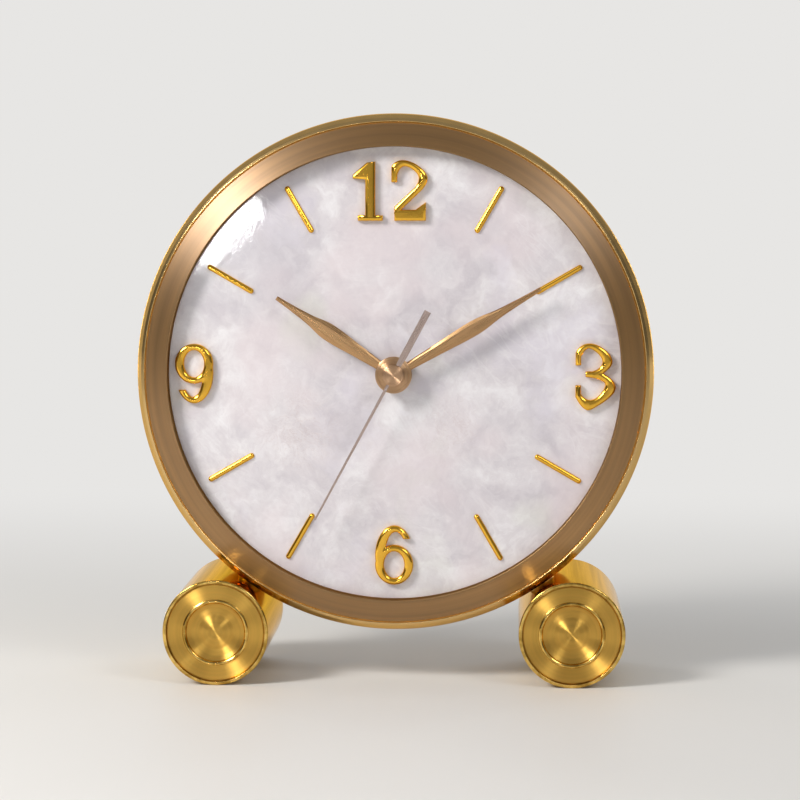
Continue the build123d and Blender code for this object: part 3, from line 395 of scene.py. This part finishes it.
# From the middle outwards: radius, depth behind the end of the tube, and round, in millimetres.
plug_corners = (
    (0, 1.0, 0), (boss_radius * 0.5, 1.12, 1.6), (boss_radius - 0.4, 1.6, 1.0), (boss_radius + 0.5, 1.9, 1.2),
    (bead_radius - 2.1, 1.6, 1.6), (bead_radius - 0.75, 0.95, 0.3), (bead_radius - 0.4, 0.42, 0.25),
    (bead_radius, 0.18, 0.3), (bead_radius + 0.45, 0.42, 0.2), (bead_radius + 0.6, 0.62, 0.12),
    (plug_radius - 0.45, 0.5, 0.3), (plug_radius, 0.95, 0.1), (plug_radius, 6.0, 0), (0, 6.0, 0))
for side in ("left", "right"):
    centre = foot_centres[side]
    tube_low, tube_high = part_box(side + "_foot_tube")
    plug_finish = turned_metal(side + "_plug_turned_brass", (0.74, 0.445, 0.095), 0.42, centre,
                               across=3.4, along=0.5, uneven=0.06, depth=0.004)
    for end, rim, inwards in (("front", tube_low[1], MM), ("rear", tube_high[1], -MM)):
        plug = lathe(f"{side}_{end}_foot_plug", rounded(
            *[(across * MM, rim + depth * inwards, size * MM) for across, depth, size in plug_corners], steps=6),
            centre, sharp=45)
        plug.data.materials.append(plug_finish.material)
        plug.data.materials.append(foot_brass.material)
        for polygon in plug.data.polygons:
            across = hypot(polygon.center.x - centre[0], polygon.center.z - centre[2])
            on_bead = bead_radius - 0.75 < across / MM < bead_radius + 0.6
            polygon.material_index = int(on_bead)
        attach(plug, "clock_case")
        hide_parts(f"{side}_foot_{end}_cap")
dress(raw_brass, "foot_spacers")

# Dial: a thin disc of shell leaves laid edge to edge, cloudy white with faint pink, lavender and
# green, under clear gloss lacquer. The plain steel plate behind it shows only inside the drum.
dial_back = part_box("dial_pearl_disc")[1][1]
dial_radius = opening_radius + dial_ledge
dial_bore = 4.0 * MM
shell_grey, shell_white, shell_bright = (0.56, 0.52, 0.565), (0.705, 0.67, 0.70), (0.86, 0.845, 0.87)
shell_pink, shell_lavender, shell_green = (0.74, 0.645, 0.675), (0.70, 0.665, 0.76), (0.70, 0.72, 0.64)
painted_reflection_grey, cluster_rose = (0.56, 0.55, 0.61), (0.66, 0.58, 0.59)
vein_rose, vein_white, streak_white = (0.55, 0.44, 0.44), (0.88, 0.84, 0.84), (0.86, 0.84, 0.86)
shell = Finish("lacquered_shell", (0.72, 0.68, 0.71), 0.4)
on_dial = shell.place(clock_centre)


def near(x, z, outer, inner):
    """1 near a place on the dial, in millimetres from its centre, and 0 outside a radius."""
    spot = shell.place((clock_centre[0] + x * MM, dial_front, clock_centre[2] + z * MM))
    away = shell.add("ShaderNodeVectorMath", {0: spot}, operation="LENGTH").outputs["Value"]
    return shell.spread(away, 1.0, 0.0, inner, outer)


def ridge(vector, scale, roughness, distortion, width):
    """Thin branching lines, 1 along the middle of each."""
    height = shell.math("SUBTRACT", shell.noise(vector, scale, 4.0, roughness, distortion), 0.5)
    return shell.spread(shell.math("ABSOLUTE", height), 1.0, 0.0, 0.0, width)


# The leaves and the flakes in them have wandering edges, and each leaf has a grain of its own.
wander = shell.add("ShaderNodeTexNoise", {"Vector": on_dial, "Scale": 0.045, "Detail": 4.0,
                                          "Roughness": 0.6}).outputs["Color"]
drift = shell.add("ShaderNodeVectorMath", {0: wander, 1: (0.5, 0.5, 0.5)}, operation="SUBTRACT").outputs[0]
drift = shell.add("ShaderNodeVectorMath", {0: drift, "Scale": 42.0}, operation="SCALE").outputs[0]
bent = shell.add("ShaderNodeVectorMath", {0: on_dial, 1: drift}, operation="ADD").outputs[0]
leaf = shell.add("ShaderNodeTexVoronoi", {"Vector": bent, "Scale": 0.052, "Smoothness": 0.55},
                 feature="SMOOTH_F1").outputs["Color"]
leaf_tone, leaf_gloss, leaf_turn = shell.add("ShaderNodeSeparateColor", {0: leaf}).outputs
flake = shell.add("ShaderNodeTexVoronoi", {"Vector": bent, "Scale": 0.13, "Smoothness": 0.7},
                  feature="SMOOTH_F1").outputs["Color"]
flake_tone = shell.add("ShaderNodeSeparateColor", {0: flake}).outputs[0]
grain_turn = shell.math("MULTIPLY", leaf_turn, 6.0)
grain_place = shell.add("ShaderNodeVectorRotate", {"Vector": on_dial, "Axis": (0, 1, 0), "Angle": grain_turn},
                        rotation_type="AXIS_ANGLE").outputs[0]
grain_place = shell.add("ShaderNodeVectorMath", {0: grain_place, 1: (0.07, 0.3, 0.75)},
                        operation="MULTIPLY").outputs[0]
grain = shell.noise(grain_place, 1.0, 5.0, 0.62, 0.4)
cloud = shell.noise(bent, 0.075, 5.0, 0.6)

# Light and dark come first, then the faint tints, then a painted reflection at the upper left.
tone = shell.math("ADD", shell.math("MULTIPLY", leaf_tone, 0.34), shell.math("MULTIPLY", flake_tone, 0.20))
tone = shell.math("ADD", tone, shell.spread(cloud, -0.12, 0.62, 0.25, 0.75))
tone = shell.math("ADD", tone, shell.spread(grain, -0.09, 0.09, 0.3, 0.7))
base = shell.mix(shell.spread(tone, 0, 1, 0.12, 0.55), shell_grey, shell_white)
base = shell.mix(shell.spread(tone, 0, 1, 0.55, 0.92), base, shell_bright)
pink = shell.spread(shell.noise(on_dial, 0.032), 0.5, 0.0, 0.36, 0.5)
base = shell.mix(pink, base, shell_pink)
lavender = shell.spread(shell.noise(bent, 0.026), 0.0, 0.45, 0.52, 0.66)
base = shell.mix(lavender, base, shell_lavender)
green = shell.spread(shell.noise(shell.place((0.05, 0.02, 0.0)), 0.038), 0.0, 0.35, 0.58, 0.7)
base = shell.mix(green, base, shell_green)
# Painted reflection: a greyish blue patch near the upper left of the dial, round the highlight of the catch
# light.
base = shell.mix(shell.math("MULTIPLY", near(-52, 46, 34, 8), 0.4), base, painted_reflection_grey)

# Two clusters of fine veins in the lower half, and long pale streaks.
vein = ridge(bent, 0.13, 0.6, 1.4, 0.032)
cross_vein = ridge(shell.place((0.02, 0.01, 0.03), (0, 0.9, 0), (1.3, 1, 0.5)), 0.16, 0.6, 1.2, 0.03)
cluster = shell.math("MAXIMUM", near(-29.4, -17.5, 15, 2), shell.math("MULTIPLY", near(17, -17.5, 13, 2), 0.7))
base = shell.mix(shell.math("MULTIPLY", shell.math("MULTIPLY", vein, cluster), 0.5), base, vein_rose)
base = shell.mix(shell.math("MULTIPLY", shell.math("MULTIPLY", cross_vein, cluster), 0.35), base, vein_white)
base = shell.mix(shell.math("MULTIPLY", cluster, 0.22), base, cluster_rose)
streak_mask = shell.spread(shell.noise(on_dial, 0.04), 0.0, 0.3, 0.45, 0.62)
streak = ridge(shell.place((0.03, 0.0, -0.02), (0, -0.75, 0), (0.5, 1, 1.25)), 0.055, 0.55, 1.6, 0.03)
base = shell.mix(shell.math("MULTIPLY", streak, streak_mask), base, streak_white)
shell.set("Base Color", base)
shell.set("Roughness", shell.spread(leaf_gloss, 0.3, 0.5))
shell.set("Coat Weight", 1.0)
shell.set("Coat Roughness", 0.025)
shell.bump(grain, 0.12, 0.06)
shell.bump(shell.noise(on_dial, 0.11, 6.0, 0.62), 0.5, 0.05, into="Coat Normal")
dial = lathe("dial_shell", rounded(
    (dial_bore, dial_front, 0), (dial_radius, dial_front, 0),
    (dial_radius, dial_back, 0), (dial_bore, dial_back, 0)), clock_centre)
dial.data.materials.append(shell.material)
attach(dial, "clock_case")
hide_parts("dial_pearl_disc")
plate_steel = polished_metal("plain_plate_steel", (0.46, 0.46, 0.45), 0.38, 0.15)
dress(plate_steel, "dial_plate")

# Numerals: cast metal, gold plated and polished, with wide soft bevels that rise to a narrow flat.
# Short studs on their backs are glued into holes in the dial.
gold = polished_metal("polished_gold_plate", (0.88, 0.49, 0.06), 0.08, 0.05, 0.004)
numeral_weld = 0.002 * MM
footprint_depth = 0.02 * MM
# Each step of the bevel goes inwards and then forwards, in millimetres.
bevel_steps = ((0.03, 0.22), (0.09, 0.22), (0.15, 0.17), (0.20, 0.13), (0.24, 0.10), (0.20, 0.04))
numeral_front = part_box("numeral_12")[0][1]
wall_height = dial_front - numeral_front - sum(step[1] for step in bevel_steps) * MM
for name in ("numeral_12", "numeral_3", "numeral_6", "numeral_9"):
    work = bmesh.new()
    work.from_mesh(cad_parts[name].data)
    bmesh.ops.remove_doubles(work, verts=work.verts, dist=numeral_weld)
    above = [face for face in work.faces
             if face.normal.y < 0.9 or abs(face.calc_center_median().y - dial_front) > footprint_depth]
    bmesh.ops.delete(work, geom=above, context="FACES")
    bmesh.ops.reverse_faces(work, faces=work.faces)
    rise = bmesh.ops.extrude_face_region(work, geom=work.faces[:], use_keep_orig=True)["geom"]
    walls = [part for part in rise if isinstance(part, bmesh.types.BMVert)]
    top = [part for part in rise if isinstance(part, bmesh.types.BMFace)]
    bmesh.ops.translate(work, verts=walls, vec=(0, -wall_height, 0))
    for inward, forward in bevel_steps:
        bmesh.ops.inset_region(work, faces=top, thickness=inward * MM, depth=forward * MM, use_even_offset=True)
    numeral = finished_piece(work, "cast_" + name, 42)
    numeral.data.materials.append(gold.material)
    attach(numeral, "clock_case")
    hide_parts(name)

# Batons: eight half-round bars with domed ends, of the same plated and polished metal as the
# numerals, glued to the dial by short studs.
baton_half = 0.85 * MM
baton_length = 16.3 * MM
baton_reach = baton_length / 2 - baton_half
baton_ring = opening_radius - 11.4 * MM
dome_steps = 8
round_points = 15
dome = [pi / 2 * k / dome_steps for k in range(dome_steps + 1)]
stations = [(-baton_reach - baton_half * cos(angle), sin(angle)) for angle in dome]
stations += [(-along, size) for along, size in reversed(stations)]
vertices, faces = [], []
for hour in (1, 2, 4, 5, 7, 8, 10, 11):
    turn = radians(30 * hour)
    first = len(vertices)
    for along, size in stations:
        for j in range(round_points):
            angle = pi * j / (round_points - 1)
            across = -baton_half * size * cos(angle)
            vertices.append((clock_centre[0] + across * cos(turn) + (baton_ring + along) * sin(turn),
                             dial_front - baton_half * size * sin(angle),
                             clock_centre[2] + (baton_ring + along) * cos(turn) - across * sin(turn)))
    for k in range(len(stations) - 1):
        this, following = first + round_points * k, first + round_points * (k + 1)
        for j in range(round_points):
            n = (j + 1) % round_points
            faces.append((this + j, this + n, following + n, following + j))
batons = mesh_piece("half_round_batons", vertices, faces, 50)
batons.data.materials.append(gold.material)
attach(batons, "clock_case")
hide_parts("hour_batons")

# Hour and minute hands: blanked from brass strip, with sloping flanks pressed either side of a flat
# and a satin rose finish brushed along the blade. A turned boss grips the pipe of the movement.
hour_angle, hour_length, hour_width = 303.2, 43.0, 5.3
minute_angle, minute_length, minute_width = 59.5, 52.2, 4.6
blade_thickness = 0.8
hour_pipe = 2.6 * MM
minute_pipe = 1.55 * MM
hand_boss_radius = 5.6 * MM
hand_rose = (0.55, 0.325, 0.155)


def brushed_hand(name, color, angle):
    """Satin metal brushed along a hand that points at an angle, in degrees clockwise from 12."""
    roughness = 0.3
    finish = bare_metal(name, color, roughness)
    lines = finish.noise(finish.place(clock_centre, (0, -radians(angle), 0), (6.0, 1.0, 0.12)), 1.0, 4.0, 0.65)
    finish.set("Roughness", finish.spread(lines, roughness - 0.1, roughness + 0.1, 0.25, 0.75))
    finish.set("Base Color", finish.mix(finish.spread(lines, 0, 1, 0.3, 0.7), shade(color, 0.84), color))
    finish.bump(lines, 0.5, 0.008)
    return finish


def blade_width(share, widths):
    """Half width of a blade at a share of its length, on a smooth curve through (share, half width) points."""
    last = len(widths) - 2
    index = next((k for k in range(last) if share <= widths[k + 1][0]), last)
    (s0, w0), (s1, w1) = widths[index], widths[index + 1]
    before = widths[index - 1] if index else (s0 - (s1 - s0), w0)
    after = widths[index + 2] if index < last else (s1 + (s1 - s0), w1)
    slope0 = (w1 - before[1]) / (s1 - before[0]) * (s1 - s0)
    slope1 = (after[1] - w0) / (after[0] - s0) * (s1 - s0)
    t = (share - s0) / (s1 - s0)
    return ((2 * t**3 - 3 * t**2 + 1) * w0 + (t**3 - 2 * t**2 + t) * slope0
            + (3 * t**2 - 2 * t**3) * w1 + (t**3 - t**2) * slope1)


def hand_blade(name, angle, length, widest, front):
    """A blade from the clock's centre outwards: flat on top, with a sloping flank each side."""
    widths = ((0, 1.15), (0.28, (2.3 + widest) / 4), (0.56, widest / 2), (0.73, widest * 0.28), (1.0, 0.62))
    back = blade_thickness
    steps = 90
    turn = radians(angle)
    vertices, faces = [], []
    for k in range(steps + 1):
        along = k / steps * length
        half = blade_width(k / steps, widths)
        flat = half * 0.52
        left = [(-half + 0.03, back), (-half, back - 0.05), (-half, back - 0.28), (-half + 0.06, back - 0.36),
                (-flat - 0.1, 0.05), (-flat + 0.06, 0.0)]
        section = left + [(-across, depth) for across, depth in reversed(left)]
        for across, depth in section:
            vertices.append((clock_centre[0] + (across * cos(turn) + along * sin(turn)) * MM,
                             front + depth * MM,
                             clock_centre[2] + (along * cos(turn) - across * sin(turn)) * MM))
    points = len(section)
    for k in range(steps):
        for j in range(points):
            n = (j + 1) % points
            faces.append((k * points + j, k * points + n, (k + 1) * points + n, (k + 1) * points + j))
    faces.append(tuple(range(points)))
    faces.append(tuple(steps * points + j for j in range(points)))
    return mesh_piece(name, vertices, faces, 24)


hour_low, hour_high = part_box("hour_hand")
minute_low, minute_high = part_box("minute_hand")
minute_front = minute_high[1] - 1.0 * MM
hour_blade = hand_blade("hour_hand_blade", hour_angle, hour_length, hour_width, hour_low[1])
hour_blade.data.materials.append(brushed_hand("hour_hand_rose", hand_rose, hour_angle).material)
minute_blade = hand_blade("minute_hand_blade", minute_angle, minute_length, minute_width, minute_front)
minute_blade.data.materials.append(brushed_hand("minute_hand_rose", hand_rose, minute_angle).material)
boss_finish = turned_metal("turned_boss_rose", (0.66, 0.42, 0.24), 0.4, clock_centre,
                           across=5.0, along=0.6, uneven=0.06, depth=0.003)
hour_boss = lathe("hour_hand_boss", rounded(
    (hour_pipe, hour_low[1], 0),
    (hand_boss_radius, hour_low[1], 0.2 * MM),
    (hand_boss_radius, hour_high[1], 0.1 * MM),
    (hour_pipe, hour_high[1], 0)), clock_centre, steps=160)
minute_boss = lathe("minute_hand_boss", rounded(
    (minute_pipe, minute_low[1], 0),
    (4.5 * MM, minute_low[1], 0.12 * MM),
    (4.5 * MM, minute_front + 0.06 * MM, 0.03 * MM),
    (4.75 * MM, minute_front + 0.06 * MM, 0.03 * MM),
    (4.85 * MM, minute_front - 0.02 * MM, 0.05 * MM),
    (hand_boss_radius, minute_front - 0.02 * MM, 0.22 * MM),
    (hand_boss_radius, minute_high[1], 0.1 * MM),
    (minute_pipe, minute_high[1], 0)), clock_centre, steps=160)
for boss in (hour_boss, minute_boss):
    boss.data.materials.append(boss_finish.material)
for piece, body, node in ((hour_blade, "hours", "hour_hand"), (hour_boss, "hours", "hour_hand"),
                          (minute_blade, "minutes", "minute_hand"), (minute_boss, "minutes", "minute_hand")):
    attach(piece, body)
    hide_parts(node)

# Second hand: a thin blade and bar blanked from one strip in paler rose silver, and the small turned
# rose gold cap that presses it on the end of the seconds arbor.
second_angle = 208.4
dress(brushed_hand("second_hand_silver", (0.51, 0.395, 0.35), second_angle), "second_hand")
soften(0.04, 40, "second_hand")
cap_low, cap_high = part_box("second_hand_cap")
cap_front = cap_low[1]
cap_radius = (cap_high[0] - cap_low[0]) / 2
cap_finish = turned_metal("turned_cap_rose", (0.68, 0.43, 0.26), 0.4, clock_centre,
                          across=7.0, along=0.5, uneven=0.05, depth=0.002)
cap = lathe("second_hand_turned_cap", rounded(
    (0, cap_front + 0.02 * MM, 0),
    (cap_radius - 0.75 * MM, cap_front + 0.08 * MM, 0.1 * MM),
    (cap_radius - 0.62 * MM, cap_front + 0.2 * MM, 0.05 * MM),
    (cap_radius - 0.3 * MM, cap_front + 0.16 * MM, 0.12 * MM),
    (cap_radius, cap_front + 0.5 * MM, 0.15 * MM),
    (cap_radius, cap_high[1], 0.05 * MM),
    (0, cap_high[1], 0)), clock_centre, steps=128)
cap.data.materials.append(cap_finish.material)
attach(cap, "seconds")
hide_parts("second_hand_cap")

# Movement housing: a tray and lid moulded in black plastic with a fine spark texture, a rubber
# washer against the dial, and a threaded brass bushing whose nut clamps the dial.
def moulded(name, color, roughness=0.5, grain=4.0, depth=0.03):
    """Moulded plastic with a fine texture and slight marks from handling."""
    finish = Finish(name, color, roughness)
    texture = finish.noise(finish.place(), grain, 3.0, 0.6)
    marks = finish.noise(finish.place(), 0.12, 3.0)
    finish.set("Roughness", finish.spread(marks, roughness - 0.08, roughness + 0.1, 0.3, 0.7))
    paler = tuple(min(1, part * 1.25 + 0.004) for part in color)
    finish.set("Base Color", finish.mix(finish.spread(texture, 0, 1, 0.35, 0.75), color, paler))
    finish.bump(texture, 0.5, depth)
    return finish


dress(moulded("black_housing_plastic", (0.022, 0.022, 0.023), 0.45), "movement_front_case",
      "movement_back_case")
dress(moulded("washer_rubber", (0.035, 0.035, 0.035), 0.75, 2.0), "movement_gasket")
dress(raw_brass, "movement_nut", "centre_bushing")
dress(moulded("knob_plastic", (0.035, 0.035, 0.037), 0.4, 6.0, 0.02), "setting_knob")
soften(0.25, 50, "movement_back_case", "setting_knob")

# Train: two dark moulded plates carry the pivots of natural nylon wheels. They run between the
# plates in layers and lead from the motor to the hands.
dress(moulded("plate_plastic", (0.09, 0.09, 0.09)), "middle_plate", "train_bridge")
dress(moulded("natural_nylon", (0.70, 0.67, 0.58), 0.42, 2.5, 0.01), "fifth_wheel", "fourth_wheel",
      "third_wheel", "centre_wheel", "cannon_pinion", "minute_wheel", "hour_wheel", "coil_bobbin")

# Motor: a stack of soft iron with a bonded magnet rotor in its hole and a coil of enamelled copper
# wire on a nylon former.
dress(moulded("bonded_magnet", (0.12, 0.12, 0.13), 0.55), "rotor")
dress(polished_metal("annealed_iron", (0.36, 0.35, 0.34), 0.42, 0.15), "stator", "coil_core")
copper = Finish("enamelled_copper", (0.62, 0.26, 0.11), 0.3, 1.0)
turns = copper.add("ShaderNodeTexWave", {"Vector": copper.place(), "Scale": 1.6, "Distortion": 0.4,
                                         "Detail": 2.0}, wave_type="BANDS", bands_direction="X").outputs["Fac"]
copper.set("Roughness", copper.spread(turns, 0.22, 0.42))
copper.set("Coat Weight", 0.6)
copper.set("Coat Roughness", 0.12)
copper.bump(turns, 0.6, 0.08)
dress(copper, "coil_winding")

# Electronics: a glass fibre board with green solder mask, a crystal in a drawn tin can, and the
# clock chip under a drop of black resin.
dress(moulded("green_board", (0.035, 0.16, 0.07), 0.35, 1.2, 0.01), "circuit_board")
dress(polished_metal("tinned_can", (0.62, 0.62, 0.60), 0.25, 0.1), "quartz_crystal")
dress(moulded("black_resin", (0.012, 0.012, 0.012), 0.2, 0.6, 0.02), "clock_chip")

# Battery: one round cell in a plain dark sleeve with bare steel ends, held by two folded strips of
# plated spring steel.
cell_low, cell_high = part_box("battery")
cell_middle = (cell_low[0] + cell_high[0]) / 2 / MM
cell_half = (cell_high[0] - cell_low[0]) / 2 / MM
bare_end = 2.2
sleeve_dark, sleeve_scuffed, bare_steel = (0.045, 0.05, 0.06), (0.09, 0.095, 0.11), (0.58, 0.57, 0.55)
sleeve = Finish("cell_sleeve", (0.05, 0.055, 0.065), 0.3)
along_cell = sleeve.add("ShaderNodeSeparateXYZ", {0: sleeve.place()}).outputs[0]
from_middle = sleeve.math("ABSOLUTE", sleeve.math("SUBTRACT", along_cell, cell_middle))
bare = sleeve.math("GREATER_THAN", from_middle, cell_half - bare_end)
scuffs = sleeve.noise(sleeve.place(stretch=(0.2, 1, 1)), 0.9, 4.0, 0.6)
scuffed = sleeve.mix(sleeve.spread(scuffs, 0, 1, 0.4, 0.8), sleeve_dark, sleeve_scuffed)
sleeve.set("Base Color", sleeve.mix(bare, scuffed, bare_steel))
sleeve.set("Metallic", bare)
sleeve.set("Roughness", sleeve.spread(scuffs, 0.22, 0.42, 0.3, 0.8))
dress(sleeve, "battery")
dress(polished_metal("plated_spring_steel", (0.60, 0.59, 0.56), 0.22, 0.15),
      "battery_contact_plus", "battery_contact_minus")

# Studio: a plain pale table that fades into a plain pale backdrop. A soft key light from the upper
# left, a weaker fill light, a strip behind each side and a small catch light for the lacquer stand
# in a dim room with three soft windows, which the brushed brass mirrors.
pale = (0.80, 0.79, 0.775)
floor_mesh = bpy.data.meshes.new("pale_table")
floor_mesh.from_pydata([(-6, -6, 0), (6, -6, 0), (6, 8, 0), (-6, 8, 0)], [], [(0, 1, 2, 3)])
floor = bpy.data.objects.new("pale_table", floor_mesh)
bpy.context.scene.collection.objects.link(floor)


def soft_step(tree, value, start, end, low=0.0, high=1.0):
    """Eases from low to high as a value goes from start to end."""
    return add_node(tree, "ShaderNodeMapRange", {"Value": value, "From Min": start, "From Max": end,
                                                 "To Min": low, "To Max": high},
                    interpolation_type="SMOOTHSTEP").outputs["Result"]


# Seen directly or mirrored, the table fades with distance into the colour of the backdrop.
table_dark, table_light = (0.73, 0.715, 0.69), (0.76, 0.745, 0.72)
table = Finish("pale_table_top", (0.74, 0.725, 0.70), 0.55)
on_table = table.place()
table.set("Base Color", table.mix(table.noise(on_table, 0.006, 3.0), table_dark, table_light))
back = table.add("ShaderNodeSeparateXYZ", {0: on_table}).outputs[1]
away = table.add("ShaderNodeVectorMath", {0: on_table}, operation="LENGTH").outputs["Value"]
fade = table.math("MAXIMUM", soft_step(table.tree, back, 20.0, 480.0),
                  soft_step(table.tree, away, 900.0, 2200.0, 0.0, 0.3))
path = table.add("ShaderNodeLightPath").outputs
looked_at = table.math("MAXIMUM", path["Is Camera Ray"],
                       table.math("MAXIMUM", path["Is Glossy Ray"], path["Is Transmission Ray"]))
glow = table.add("ShaderNodeEmission", {"Color": (*pale, 1), "Strength": 1.0})
blend = table.add("ShaderNodeMixShader", {0: table.math("MULTIPLY", fade, looked_at),
                                          1: table.shader.outputs[0], 2: glow.outputs[0]})
feed(table.tree, table.tree.nodes["Material Output"].inputs[0], blend.outputs[0])
floor.data.materials.append(table.material)


def soft_light(name, place, target, width, power, height=None, color=(1, 1, 1), roll=0.0):
    """A rectangular soft light that looks at a target. It is square where no height is given."""
    lamp = bpy.data.lights.new(name, "AREA")
    lamp.shape = "RECTANGLE"
    lamp.size = width
    lamp.size_y = height or width
    lamp.energy = power
    lamp.color = color
    holder = bpy.data.objects.new(name, lamp)
    holder.location = place
    aimed = (Vector(target) - Vector(place)).to_track_quat("-Z", "Y")
    holder.rotation_euler = (aimed @ Quaternion((0, 0, 1), radians(roll))).to_euler()
    bpy.context.scene.collection.objects.link(holder)


dial_middle = (clock_centre[0], dial_front, clock_centre[2])
soft_light("key_light", (-0.52, -0.42, 0.52), dial_middle, width=0.22, power=5.0, color=(1.0, 0.97, 0.93))
soft_light("fill_light", (0.55, -0.55, 0.60), dial_middle, width=0.24, power=1.2)
soft_light("catch_light", (-0.1905, -1.16, 0.125), (-0.05, dial_front, 0.14), width=0.063, power=0.25,
           height=0.0315, roll=45)
soft_light("left_strip", (-0.85, 0.75, 0.28), (-0.08, 0, 0.10), width=0.10, power=1.6, height=0.6)
soft_light("right_strip", (0.85, 0.75, 0.28), (0.08, 0, 0.10), width=0.08, power=1.2, height=0.6)

world = bpy.data.worlds.new("studio")
world.use_nodes = True
bpy.context.scene.world = world
room = world.node_tree
room.nodes.clear()
direction = add_node(room, "ShaderNodeTexCoord").outputs["Generated"]
toward = add_node(room, "ShaderNodeSeparateXYZ", {0: direction}).outputs


def window(aim_at, outer, inner, strength):
    """A soft bright patch of the room, between two cone angles in degrees about a direction."""
    middle = tuple(Vector(aim_at).normalized())
    facing = add_node(room, "ShaderNodeVectorMath", {0: direction, 1: middle}, operation="DOT_PRODUCT")
    return soft_step(room, facing.outputs["Value"], cos(radians(outer)), cos(radians(inner)), 0.0, strength)


# The room gets lighter upwards. Behind the clock it is nearly as light as the backdrop.
behind = soft_step(room, toward[1], 0.3, 0.7)
level = soft_step(room, toward[2], 0.3, 1.0, 0.12, 0.3)
for patch in (window((0.0, -1.0, 0.1), 46, 16, 0.22), window((-0.6, -0.5, 0.6), 24, 8, 1.1),
              window((0.62, -0.55, 0.6), 22, 8, 0.7)):
    level = add_math(room, "ADD", level, patch)
level = add_math(room, "MAXIMUM", level, add_math(room, "MULTIPLY", behind, 0.8))
room_light = add_node(room, "ShaderNodeBackground", {0: (0.97, 0.985, 1.0, 1), 1: level}).outputs[0]
backdrop = add_node(room, "ShaderNodeBackground", {0: (*pale, 1), 1: 1.0}).outputs[0]
ray = add_node(room, "ShaderNodeLightPath").outputs
shown = add_math(room, "MAXIMUM", ray["Is Camera Ray"], ray["Is Transmission Ray"])
shown = add_math(room, "MAXIMUM", shown, add_math(room, "MULTIPLY", ray["Is Glossy Ray"], behind))
choose = add_node(room, "ShaderNodeMixShader", {0: shown, 1: room_light, 2: backdrop}).outputs[0]
add_node(room, "ShaderNodeOutputWorld", {0: choose})
bpy.context.scene.view_settings.view_transform = "Standard"

# Camera: a little above and to the right of the clock, with a long lens, as the photograph was
# taken. It looks at a point just below the middle of the dial.
camera_distance = 0.766
camera_yaw = radians(2.66)
camera_pitch = radians(4.8)
aim = Vector((0.0017, -0.015, clock_centre[2] - 0.0082))
look = Vector((-sin(camera_yaw) * cos(camera_pitch), cos(camera_yaw) * cos(camera_pitch), -sin(camera_pitch)))
camera = bpy.data.objects.new("camera", bpy.data.cameras.new("camera"))
camera.data.lens = 111.4
camera.data.sensor_width = 36.0
camera.location = aim - look * camera_distance
camera.rotation_euler = look.to_track_quat("-Z", "Y").to_euler()
bpy.context.scene.collection.objects.link(camera)
bpy.context.scene.camera = camera
